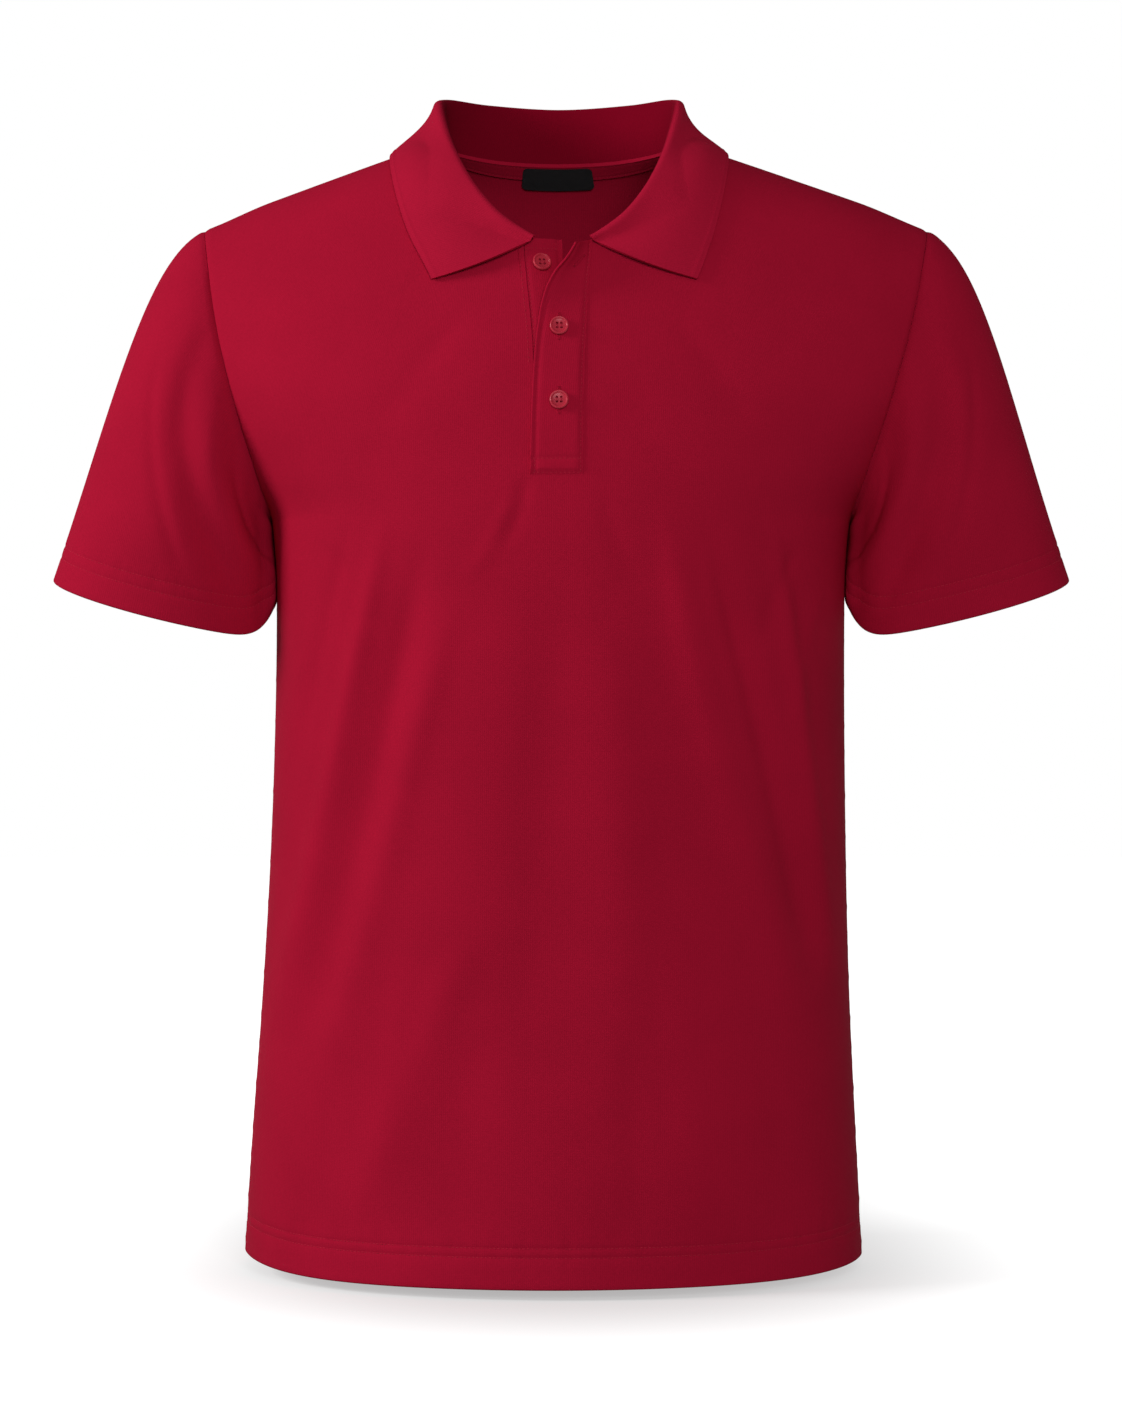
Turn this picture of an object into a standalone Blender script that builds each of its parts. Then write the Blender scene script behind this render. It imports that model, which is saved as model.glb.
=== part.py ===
"""A short-sleeved polo shirt in worn form, hollow, with no wearer.

Metres, +Z up. The front faces -Y and +X is the wearer's left. The origin is the middle of the neck at the
height of the two high shoulder points, where the wearer's neck and shoulders carry the shirt.

Every cloth piece is a closed wall round an outer face worked out from the tables below: the body from
horizontal sections with a rounded shoulder ridge, the sleeves from the armhole to the cuff, and the collar
from its neck seam over its roll line to its outer edge.
"""

import math

import bpy
import numpy as np

# ---------------------------------------------------------------- driving sizes
HEM_HEIGHT = -0.7290
HEM_SIDE_LIFT = {-1: 0.0066, 1: 0.0040}  # how much higher the hem is at the side seams
UNDERARM_HEIGHT = -0.250
SHOULDER_HALF = 0.2355
NECK_HALF = 0.078
SHOULDER_SLOPE = 0.365
RIDGE_SOFTNESS = 0.040  # how round the ridge line is where it passes over the neck
SHOULDER_TIP_DROP = 0.0022  # how much lower than straight the shoulder ends
SHOULDER_ROUND = 0.140  # height over which the shoulder rounds into chest and back
CLOTH = 0.0014
HEM_CLOTH = 0.0026  # turned-up hems are double
HEM_DEPTH = 0.026
HEM_LIFT_TOP = -0.620  # height up to which the hem's lift reaches
SLEEVE_HEM_DEPTH = 0.025
COLLAR_CLOTH = 0.0018
TRIM_CLOTH = 0.0010
SEAM_HALF_GAP = 0.00015
LAY_GAP = 0.0003  # between a piece and what it lies on

# The body by height, from the hem up: half width, depth of front and back from the side seam's plane,
# squareness of the section (2 is an ellipse) and how far its middle stands off the middle of the neck.
BODY = np.array(
    [
        # height  half    front   back    square  middle
        (-0.729, 0.2018, 0.1310, 0.1190, 2.00, -0.0027),
        (-0.640, 0.1965, 0.1280, 0.1140, 2.08, -0.0021),
        (-0.560, 0.1916, 0.1265, 0.1100, 2.14, -0.0010),
        (-0.430, 0.1866, 0.1275, 0.1055, 2.20, 0.0010),
        (-0.315, 0.1850, 0.1310, 0.1120, 2.26, 0.0020),
        (-0.250, 0.1880, 0.1305, 0.1175, 2.30, 0.0022),
        (-0.220, 0.2050, 0.1290, 0.1190, 2.33, 0.0025),
        (-0.190, 0.2240, 0.1265, 0.1195, 2.36, 0.0028),
        (-0.165, 0.2380, 0.1230, 0.1195, 2.38, 0.0032),
        (-0.130, 0.2530, 0.1150, 0.1195, 2.40, 0.0038),
        (-0.100, 0.2620, 0.1085, 0.1200, 2.40, 0.0045),
        (-0.060, 0.2680, 0.1010, 0.1215, 2.40, 0.0054),
        (0.000, 0.2720, 0.0970, 0.1225, 2.40, 0.0012),
        (0.040, 0.2740, 0.0950, 0.1225, 2.40, 0.0000),
    ]
)
HEIGHT, HALF, FRONT, BACK, SQUARE, MIDDLE = range(6)

# The armhole from the underarm up to just below the shoulder tip: height and degrees round the body.
ARMHOLE = {
    "front": ((-0.2500, 90.0), (-0.2488, 87.0), (-0.2452, 83.6), (-0.2354, 77.8), (-0.2200, 71.5),
              (-0.2000, 66.4), (-0.1800, 62.8), (-0.1600, 60.3), (-0.1300, 58.4), (-0.1000, 57.6)),
    "back": ((-0.2500, 90.0), (-0.2486, 86.4), (-0.2445, 82.4), (-0.2345, 76.4), (-0.2200, 71.0),
             (-0.2000, 67.0), (-0.1800, 65.0), (-0.1600, 63.6), (-0.1300, 62.0), (-0.1000, 60.4)),
}

# The neckline from the high shoulder point towards the middle: distance from the middle and height.
NECKLINE = {
    "front": ((0.0780, 0.0000), (0.0768, -0.0130), (0.0715, -0.0290), (0.0615, -0.0445),
              (0.0485, -0.0580), (0.0345, -0.0680), (0.0185, -0.0740), (0.0110, -0.0756)),
    "back": ((0.0780, 0.0000), (0.0690, -0.0014), (0.0560, -0.0028), (0.0400, -0.0040),
             (0.0200, -0.0046), (0.0000, -0.0048)),
}
NECK_ENDS = {-1: 0.0212, 1: 0.0170}  # where the front's neckline ends at the placket's slot
COLLAR_ENDS = {-1: 0.0154, 1: 0.0216}  # where the collar's seam ends
NECK_PULL = 0.0031  # the open neck is drawn this far towards +X at its front

# Long soft folds: where each starts and ends (across, height), how far its line bows sideways, its half
# width and its height, which is below zero for a trough.
FOLDS = {
    "front": (
        # start            end              bow     half    height
        (-0.121, -0.285, -0.166, -0.470, 0.006, 0.013, 0.0030),
        (-0.104, -0.292, -0.162, -0.560, 0.008, 0.016, -0.0036),
        (-0.084, -0.330, -0.134, -0.610, 0.006, 0.018, 0.0022),
        (-0.020, -0.275, -0.036, -0.600, 0.004, 0.024, -0.0022),
        (0.030, -0.300, 0.044, -0.640, 0.003, 0.024, 0.0016),
        (0.086, -0.255, 0.128, -0.540, -0.006, 0.019, -0.0036),
        (0.124, -0.275, 0.172, -0.520, -0.006, 0.013, 0.0030),
        (-0.052, -0.560, -0.070, -0.727, 0.002, 0.022, -0.0016),
        (0.076, -0.520, 0.104, -0.727, -0.003, 0.022, 0.0018),
        (-0.020, -0.222, -0.036, -0.272, 0.001, 0.005, -0.0012),
    ),
    "back": (
        (-0.112, -0.235, -0.100, -0.560, 0.010, 0.022, -0.0026),
        (-0.080, -0.200, -0.060, -0.520, 0.008, 0.020, 0.0024),
        (0.000, -0.230, 0.006, -0.640, 0.004, 0.026, -0.0030),
        (0.074, -0.205, 0.058, -0.540, -0.008, 0.020, 0.0024),
        (0.110, -0.240, 0.104, -0.600, -0.010, 0.022, -0.0026),
        (-0.140, -0.330, -0.150, -0.660, 0.004, 0.018, 0.0022),
        (0.142, -0.350, 0.152, -0.680, -0.004, 0.018, 0.0022),
    ),
}

# The sleeve by quarter, from the top of the armhole round the front: the way it leaves the seam, how
# strongly, the way it meets the cuff and how strongly. X here points away from the body.
SLEEVE = np.array(
    [
        # leaving              by     arriving               by
        (0.905, 0.00, -0.425, 0.041, 0.327, 0.00, -0.945, 0.136),
        (0.780, -0.33, -0.530, 0.048, 0.200, 0.04, -0.980, 0.060),
        (0.420, 0.00, -0.908, 0.018, 0.020, 0.00, -1.000, 0.026),
        (0.780, 0.33, -0.530, 0.048, 0.200, -0.04, -0.980, 0.060),
    ]
)
SLEEVE_SHIFT = 0.0025  # both cuffs stand this far towards +X of even
CUFF_MIDDLE = np.array((0.2577, -0.0080, -0.3045))
CUFF_OUTWARD = np.array((0.0733, 0.0, 0.0180))
CUFF_FORWARD = np.array((0.0, -0.0480, -0.0086))
CUFF_INNER_LIFT = 0.0235  # how far the cuff is drawn up under the arm
SLEEVE_CLEAR = 0.0016  # between the sleeve and the side of the body
# Folds of a sleeve: share of the way round from the top over the front and share of its length, at both
# ends, then half width as a share of the way round, and height.
SLEEVE_FOLDS = (
    (0.16, 0.10, 0.40, 0.80, 0.045, -0.0042),
    (0.24, 0.05, 0.47, 0.70, 0.040, 0.0034),
    (0.60, 0.10, 0.84, 0.20, 0.045, -0.0030),
    (0.70, 0.15, 0.90, 0.60, 0.050, 0.0026),
)

# The collar from its front end round to the middle of the back: share of the neck seam, roll line and
# outer edge, for the side at +X.
COLLAR = np.array(
    [
        # seam   roll x   roll y   roll z   edge x   edge y   edge z
        (0.00, 0.0188, -0.0925, -0.0742, 0.0846, -0.1050, -0.0960),
        (0.14, 0.0390, -0.0856, -0.0584, 0.0912, -0.0950, -0.0812),
        (0.28, 0.0556, -0.0705, -0.0365, 0.0982, -0.0820, -0.0640),
        (0.42, 0.0682, -0.0450, -0.0095, 0.1040, -0.0560, -0.0410),
        (0.56, 0.0778, -0.0040, 0.0218, 0.1068, 0.0000, -0.0110),
        (0.70, 0.0752, 0.0290, 0.0322, 0.1000, 0.0420, -0.0120),
        (0.85, 0.0475, 0.0610, 0.0336, 0.0620, 0.0720, -0.0150),
        (1.00, 0.0000, 0.0700, 0.0322, 0.0000, 0.0800, -0.0160),
    ]
)
COLLAR_SHIFT = 0.0010  # the whole collar stands this far towards +X
COLLAR_FRONT_BULGE = 0.0042  # how far the front edge of the fall bows beyond straight
ROLL_RADIUS = 0.0031
ROLL_TURN = 2.75  # radians over which the collar turns at its roll line
COLLAR_STAND_OFF = 0.0052  # how far the middle of the fall stands off the chest
COLLAR_EDGE_OFF = 0.0018
COLLAR_SEAM_RISE = 0.0013

# The placket: an upper band with its free edge towards -X over an under band with the buttons.
PLACKET_FOOT = -0.2247
PLACKET_SLOT_FOOT = -0.2150
SLOT_RIGHT = 0.0115
UPPER_BAND_TOP = -0.0750
UPPER_BAND_DROP = 0.0048  # how much lower its top corner at the free edge hangs
UNDER_BAND_TOP = -0.0735
# By height from the foot up: the upper band's free edge and sewn edge, how far its free edge stands
# forward, the under band's free edge, how far that one falls back, and the slot's edge under it.
PLACKET = np.array(
    [
        # height  free     sewn    forward under   back    slot
        (-0.2247, -0.0171, 0.0160, 0.0000, 0.0100, 0.0000, -0.0145),
        (-0.1740, -0.0158, 0.0164, 0.0000, 0.0100, 0.0000, -0.0146),
        (-0.1525, -0.0146, 0.0170, 0.0004, 0.0100, 0.0000, -0.0150),
        (-0.1315, -0.0124, 0.0180, 0.0020, 0.0096, 0.0008, -0.0162),
        (-0.1170, -0.0098, 0.0188, 0.0050, 0.0085, 0.0026, -0.0176),
        (-0.1047, -0.0060, 0.0196, 0.0092, 0.0068, 0.0050, -0.0189),
        (-0.0947, -0.0010, 0.0204, 0.0132, 0.0052, 0.0072, -0.0198),
        (-0.0860, 0.0056, 0.0211, 0.0164, 0.0040, 0.0088, -0.0206),
        (-0.0735, 0.0128, 0.0219, 0.0188, 0.0034, 0.0100, -0.0212),
    ]
)
AT, FREE, SEWN, FORWARD, UNDER, FALLS_BACK, SLOT = range(7)

BUTTON_RADIUS = 0.0060
BUTTON_THICK = 0.0026
BUTTON_HOLE_RADIUS = 0.00082
BUTTON_HOLE_SPREAD = 0.0019  # from the button's middle to each hole's middle
# Name, across, height, and the band that it is sewn through to.
BUTTONS = (
    ("button_top", -0.0100, -0.0900, "under"),
    ("button_middle", 0.0011, -0.1322, "upper"),
    ("button_bottom", 0.0011, -0.1790, "upper"),
)

TAPE_DEPTH = 0.0120
LABEL_HALF = 0.0245
LABEL_DEPTH = 0.0195

# How finely each piece is divided.
SIDE_COLUMNS = 13
SLOT_COLUMNS = 3
LOWER_ROWS = 15
UPPER_ROWS = 13
SLEEVE_ROWS = 11
COLLAR_AROUND = 22  # on each side of the middle of the back
COLLAR_STAND_ROWS = 3
COLLAR_ROLL_ROWS = 4
COLLAR_FALL_ROWS = 5


# ---------------------------------------------------------------- curves
def through(knots, values, at, level_out=False):
    """Smooth curve through values given at rising knots, read at the numbers in at.

    With level_out it never overshoots a value.
    """
    knots, values = np.asarray(knots, float), np.asarray(values, float)
    if values.ndim > 1:
        return np.stack([through(knots, column, at, level_out) for column in values.T], axis=-1)
    step = np.diff(knots)
    slope = np.diff(values) / step
    tangent = np.empty_like(values)
    tangent[0], tangent[-1] = slope[0], slope[-1]
    tangent[1:-1] = (slope[:-1] * step[1:] + slope[1:] * step[:-1]) / (step[:-1] + step[1:])
    if level_out:
        limit = 3 * np.minimum(np.abs(slope[:-1]), np.abs(slope[1:]))
        same_way = slope[:-1] * slope[1:] > 0
        tangent[1:-1] = np.where(same_way, np.clip(tangent[1:-1], -limit, limit), 0.0)
    at = np.clip(at, knots[0], knots[-1])
    i = np.clip(np.searchsorted(knots, at) - 1, 0, len(knots) - 2)
    t = (at - knots[i]) / step[i]
    return (
        values[i] * (1 + 2 * t) * (1 - t) ** 2
        + tangent[i] * step[i] * t * (1 - t) ** 2
        + values[i + 1] * t**2 * (3 - 2 * t)
        + tangent[i + 1] * step[i] * t**2 * (t - 1)
    )


def lengths_along(points):
    """Distance from the first point along the line to each point."""
    return np.concatenate([[0.0], np.cumsum(np.linalg.norm(np.diff(points, axis=0), axis=1))])


def spread_along(points, shares):
    """The points at these shares of a line's length."""
    along = lengths_along(points)
    return np.stack([np.interp(shares * along[-1], along, column) for column in points.T], axis=-1)


def ease(share):
    share = np.clip(share, 0.0, 1.0)
    return share * share * (3 - 2 * share)


def unit(vectors):
    return vectors / np.linalg.norm(vectors, axis=-1, keepdims=True)


# ---------------------------------------------------------------- the body's form
def body_at(height, column):
    return through(BODY[:, HEIGHT], BODY[:, column], height, level_out=True)


def ridge(across):
    """Height of the shoulder ridge at a distance from the middle."""
    soft = math.hypot(NECK_HALF, RIDGE_SOFTNESS)
    tip = ease((np.abs(across) - SHOULDER_HALF + 0.045) / 0.045)
    return SHOULDER_SLOPE * (soft - np.hypot(across, RIDGE_SOFTNESS)) - SHOULDER_TIP_DROP * tip


def depth_column(side):
    return FRONT if side == "front" else BACK


def way(side):
    return -1.0 if side == "front" else 1.0


def angle_at(x, height):
    """Angle round the body, 0 at the middle and 90 degrees at the side, of a place seen from the front."""
    across = x - body_at(height, MIDDLE)
    share = np.clip(np.abs(across) / body_at(height, HALF), 0.0, 1.0)
    return np.sign(across) * np.arcsin(share ** (body_at(height, SQUARE) / 2))


def fold_height(side, across, height):
    total = np.zeros(np.broadcast(across, height).shape)
    for x0, z0, x1, z1, bow, half, rise in FOLDS[side]:
        share = (height - z0) / (z1 - z0)
        middle = x0 + (x1 - x0) * share + bow * 4 * share * (1 - share)
        ends = ease(share / 0.25) * ease((1 - share) / 0.25)
        spread = half * (0.7 + 0.5 * np.clip(share, 0, 1))
        total = total + rise * ends * np.exp(-(((across - middle) / spread) ** 2))
    return total


def body_point(side, angle, height):
    """Outer face of the cloth at an angle round the body and a height."""
    power = 2 / body_at(height, SQUARE)
    across = np.sign(angle) * body_at(height, HALF) * np.abs(np.sin(angle)) ** power
    below = np.maximum(ridge(across) - height, 0.0)
    rounding = np.sqrt(1 - np.exp(-2 * below / SHOULDER_ROUND))
    depth = body_at(height, depth_column(side)) * np.maximum(np.cos(angle), 0.0) ** power * rounding
    proud = fold_height(side, across, height) * np.cos(angle) ** 0.5 * ease(below / 0.10)
    return np.stack(
        [
            across + body_at(height, MIDDLE) + proud * np.sin(angle),
            way(side) * (depth + proud * np.cos(angle)),
            height + np.zeros_like(across),
        ],
        axis=-1,
    )


def form_value(points, side=None):
    """Below zero inside the body's form and above zero outside it. The side is by the sign of y if not given."""
    x, y, z = points[..., 0], points[..., 1], points[..., 2]
    across = x - body_at(z, MIDDLE)
    if side is None:
        depth = np.where(y < 0, body_at(z, FRONT), body_at(z, BACK))
    else:
        depth = body_at(z, depth_column(side))
    square = body_at(z, SQUARE)
    left = 1 - (np.abs(across) / body_at(z, HALF)) ** square
    sideways = np.sign(left) * np.abs(left) ** (2 / square)
    upwards = 1 - np.exp(-2 * (ridge(across) - z) / SHOULDER_ROUND)
    return (y / depth) ** 2 - sideways * upwards


def form_gradient(points, side=None):
    nudge = 1e-5
    return np.stack(
        [
            (form_value(points + move, side) - form_value(points - move, side)) / (2 * nudge)
            for move in np.eye(3) * nudge
        ],
        axis=-1,
    )


def outward(points, side=None):
    return unit(form_gradient(points, side))


def off_body(points, distance):
    """The points moved straight in or out until they are this far off the body's form."""
    for _ in range(12):
        gradient = form_gradient(points)
        size = np.linalg.norm(gradient, axis=-1)
        short = distance - form_value(points) / size
        points = points + (gradient / size[..., None]) * short[..., None]
    return points


# ---------------------------------------------------------------- walls
def grid_faces(rows, columns, first=0, closed=False):
    """Quads of a grid of points numbered row by row. A closed grid joins its last column to its first."""
    quads = []
    for row in range(rows - 1):
        for column in range(columns if closed else columns - 1):
            beside = (column + 1) % columns
            quads.append(
                (
                    first + row * columns + column,
                    first + row * columns + beside,
                    first + (row + 1) * columns + beside,
                    first + (row + 1) * columns + column,
                )
            )
    return quads


def grid_normals(grid, closed=False):
    """Unit normals of a grid of points, by its rows and columns."""
    if closed:
        beside = np.roll(grid, -1, axis=1) - np.roll(grid, 1, axis=1)
    else:
        beside = np.gradient(grid, axis=1)
    return unit(np.cross(beside, np.gradient(grid, axis=0)))


def merged(points, faces, *others):
    """Points at one place made one, with the faces renumbered, and other lists cut down the same way."""
    _, first, index = np.unique(np.round(points, 7), axis=0, return_index=True, return_inverse=True)
    index = index.reshape(-1)
    faces = [tuple(int(index[corner]) for corner in face) for face in faces]
    return [points[first], faces] + [other[first] for other in others]


def facing(points, faces, normals):
    """The faces, all turned round if they point against the normals."""
    corners = points[np.array([face[:3] for face in faces])]
    made = np.cross(corners[:, 1] - corners[:, 0], corners[:, 2] - corners[:, 0])
    meant = normals[np.array([face[0] for face in faces])]
    return faces if (made * meant).sum() > 0 else [turned_over(face) for face in faces]


def turned_over(face):
    """The face seen from its other side, still split along the same diagonal."""
    return (face[2], face[1], face[0]) + tuple(face[3:])


def wall(name, outer, inner, faces, colour, roughness):
    """One closed piece between an outer and an inner face with the same points and faces."""
    faces = facing(outer, faces, outer - inner)
    count = len(outer)
    used = {}
    for face in faces:
        for a, b in zip(face, face[1:] + face[:1]):
            used[(a, b)] = True
    rim = [(b, a, a + count, b + count) for a, b in used if (b, a) not in used]
    under = [turned_over(tuple(corner + count for corner in face)) for face in faces]
    return solid(name, np.concatenate([outer, inner]), faces + under + rim, colour, roughness)


def solid(name, points, faces, colour, roughness):
    mesh = bpy.data.meshes.new(name)
    mesh.from_pydata([tuple(point) for point in points], [], faces)
    mesh.shade_smooth()
    mesh.set_sharp_from_angle(angle=math.radians(40))
    piece = bpy.data.objects.new(name, mesh)
    piece.data.materials.append(finish(name, colour, roughness))
    bpy.context.scene.collection.objects.link(piece)
    return piece


def finish(name, colour, roughness):
    material = bpy.data.materials.new(name)
    material.use_nodes = True
    shader = material.node_tree.nodes["Principled BSDF"]
    shader.inputs["Base Color"].default_value = (*colour, 1.0)
    shader.inputs["Roughness"].default_value = roughness
    shader.inputs["Metallic"].default_value = 0.0
    return material


RED_KNIT = (0.36, 0.008, 0.030)
RED_RIB = (0.39, 0.009, 0.034)
RED_BUTTON = (0.46, 0.020, 0.045)
BLACK_WOVEN = (0.006, 0.007, 0.008)


def clear_scene():
    for item in list(bpy.data.objects):
        bpy.data.objects.remove(item)


# ---------------------------------------------------------------- front and back
def armhole_line(side, shares):
    """(angle, height) along the armhole from the underarm to the shoulder tip."""
    tip_height = float(ridge(SHOULDER_HALF))
    tip_angle = math.degrees(angle_at(SHOULDER_HALF + body_at(tip_height, MIDDLE), tip_height))
    rows = np.array(ARMHOLE[side] + ((tip_height, tip_angle),))
    line = np.stack([np.radians(rows[:, 1]), rows[:, 0]], axis=-1)
    knots = lengths_along(body_point(side, line[:, 0], line[:, 1]))
    return through(knots / knots[-1], line, shares)


def neck_line(side, sign, shares):
    """(across, height) along the neckline from the high shoulder point towards the middle."""
    rows = np.array(NECKLINE[side])
    knots = lengths_along(rows)
    line = through(knots / knots[-1], rows, shares)
    pulled = NECK_PULL * (line[:, 1] / NECKLINE["front"][-2][1]) ** 2 if side == "front" else 0.0
    return np.stack([sign * line[:, 0] + pulled, line[:, 1]], axis=-1)


def neck_share(side, sign, across):
    """Share of the neckline at this distance from the middle."""
    shares = np.linspace(0, 1, 400)
    return float(np.interp(-across, -np.abs(neck_line(side, sign, shares)[:, 0]), shares))


def panel_end(side, sign):
    return neck_share(side, sign, NECK_ENDS[sign]) if side == "front" else 1.0


def inner_line(side, sign, heights):
    """Across at the edge of the placket's slot, or at the middle of the back."""
    if side == "back":
        return np.zeros_like(heights)
    if sign < 0:
        return placket_at(heights, SLOT)
    top, top_height = neck_line(side, sign, np.array([panel_end(side, sign)]))[0]
    knots = (HEM_HEIGHT, PLACKET_SLOT_FOOT, top_height)
    return through(knots, (SLOT_RIGHT, SLOT_RIGHT, top), heights, level_out=True)


SHOULDER_SHARE = 0.56  # of a half panel's columns that end on the shoulder seam


def top_line(side, sign, shares):
    """(angle, height) along the shoulder seam from its tip and on along the neckline."""
    shoulder = shares <= SHOULDER_SHARE
    across = SHOULDER_HALF + (NECK_HALF - SHOULDER_HALF) * np.clip(shares / SHOULDER_SHARE, 0, 1)
    past = np.clip((shares - SHOULDER_SHARE) / (1 - SHOULDER_SHARE), 0, 1)
    on_neck = neck_line(side, sign, past * panel_end(side, sign))
    height = np.where(shoulder, ridge(across), on_neck[:, 1])
    x = np.where(shoulder, sign * across + body_at(height, MIDDLE), on_neck[:, 0])
    return np.stack([angle_at(x, height), height], axis=-1)


def upper_column(side, sign, share, rows=160):
    """Points up one column of a half panel, from the underarm's height to the shoulder seam or neckline."""
    v = np.linspace(0, 1, rows)[:, None]
    top_height = neck_line(side, sign, np.array([panel_end(side, sign)]))[0, 1]
    low_end = angle_at(inner_line(side, sign, np.array([UNDERARM_HEIGHT])), UNDERARM_HEIGHT)[0]
    low = np.array([sign * math.pi / 2 + (low_end - sign * math.pi / 2) * share, UNDERARM_HEIGHT])
    high = top_line(side, sign, np.array([share]))[0]
    outside = armhole_line(side, v[:, 0]) * np.array([sign, 1.0])
    heights = UNDERARM_HEIGHT + (top_height - UNDERARM_HEIGHT) * v[:, 0]
    inside = np.stack([angle_at(inner_line(side, sign, heights), heights), heights], axis=-1)
    place = (
        (1 - v) * low + v * high + (1 - share) * outside + share * inside
        - ((1 - v) * ((1 - share) * outside[0] + share * inside[0])
           + v * ((1 - share) * outside[-1] + share * inside[-1]))
    )
    return body_point(side, place[:, 0], place[:, 1])


def half_panel(side, sign, columns):
    """Grid of one half of a panel, rows from the hem up and columns from the side inwards."""
    shares = np.linspace(0, 1, columns)
    hem = HEM_HEIGHT + HEM_DEPTH * np.array([0.0, 0.5, 1.0, 1.15])
    heights = np.concatenate([hem, np.linspace(hem[-1], UNDERARM_HEIGHT, LOWER_ROWS - 2)[1:]])
    ends = angle_at(inner_line(side, sign, heights), heights)
    angles = sign * math.pi / 2 + (ends - sign * math.pi / 2)[:, None] * shares[None, :]
    lift = HEM_SIDE_LIFT[sign] * np.sin(angles) ** 8 * ease((HEM_LIFT_TOP - heights[:, None]) / 0.10)
    lower = body_point(side, angles, heights[:, None] + lift)
    columns = [upper_column(side, sign, share) for share in shares]
    slot = slot_share(side, columns[-1])
    upper = np.stack([spread_along(column, upper_rows(slot, column)) for column in columns], axis=1)
    return np.concatenate([lower, upper[1:]]), len(heights) + 1


def upper_rows(slot, column):
    """Shares of a column's length for its rows, the last two at the tape's and the label's depth."""
    length = lengths_along(column)[-1]
    under_top = 1 - LABEL_DEPTH / length
    return np.concatenate(
        [
            np.linspace(0, slot, 3),
            np.linspace(slot, under_top, UPPER_ROWS - 2)[1:],
            (1 - TAPE_DEPTH / length, 1.0),
        ]
    )


def slot_share(side, column):
    """Share of the inner column's upper length at which the placket's slot ends."""
    if side == "back":
        return 0.2
    along = lengths_along(column)
    return float(np.interp(PLACKET_SLOT_FOOT, column[:, 2], along / along[-1]))


def thickness_at(heights):
    """Wall thickness by height: double at the turned-up hem."""
    return np.where(heights < HEM_HEIGHT + HEM_DEPTH + max(HEM_SIDE_LIFT.values()) * 0.4, HEM_CLOTH, CLOTH)


def drawn_in(grid):
    """The grid with its side seam and its top edge drawn in by the seam's half gap."""
    grid = grid.copy()
    side = slice(0, LOWER_ROWS + 1)
    grid[side, 0] += SEAM_HALF_GAP * unit(grid[side, 1] - grid[side, 0])
    grid[-1] += SEAM_HALF_GAP * unit(grid[-2] - grid[-1])
    return grid


def panel(side):
    """Makes a panel and returns its whole grid as cut to the seam lines, columns from -X to +X."""
    left, slot_row = half_panel(side, -1, SIDE_COLUMNS)
    right, _ = half_panel(side, 1, SIDE_COLUMNS)
    grids = [drawn_in(left), drawn_in(right)]
    if side == "front":
        rows = slot_row + 1
        across = np.linspace(0, 1, SLOT_COLUMNS + 1)[None, :, None]
        ends_left, ends_right = left[:rows, -1][:, None], right[:rows, -1][:, None]
        flat = ends_left + (ends_right - ends_left) * across
        middle = body_point(side, angle_at(flat[..., 0], flat[..., 2]), flat[..., 2])
        middle[:, 0], middle[:, -1] = left[:rows, -1], right[:rows, -1]
        grids.append(middle)
    points, faces = [], []
    for grid in grids:
        made = grid_faces(grid.shape[0], grid.shape[1], sum(len(part) for part in points))
        if grid is grids[1]:
            made = [turned_over(face) for face in made]
        faces += made
        points.append(grid.reshape(-1, 3))
    points, faces = merged(np.concatenate(points), faces)
    inner = points - outward(points, side) * thickness_at(points[:, 2])[:, None]
    wall(f"{side}_panel", points, inner, faces, RED_KNIT, 0.85)
    return np.concatenate([left, right[:, -2::-1]], axis=1)


# ---------------------------------------------------------------- sleeves
def armhole_loop(front, back, sign):
    """The armhole's points from the panels' edges: from the shoulder tip down the front and up the back.

    Returns them with each one's share of the way round.
    """
    edge = 0 if sign < 0 else -1
    down, up = front[:LOWER_ROWS - 1:-1, edge], back[LOWER_ROWS:, edge]
    along_down, along_up = lengths_along(down), lengths_along(up)
    shares = np.concatenate([0.5 * along_down / along_down[-1], 0.5 + 0.5 * along_up[1:-1] / along_up[-1]])
    return np.concatenate([down, up[1:-1]]), shares


def off_panel(loop):
    """The way that leads off the panels at each point of the armhole, flat in their surface."""
    tangent = np.roll(loop, -1, axis=0) - np.roll(loop, 1, axis=0)
    off = unit(np.cross(tangent, outward(loop)))
    return off * np.sign(off[0, 0] * loop[0, 0])


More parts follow.
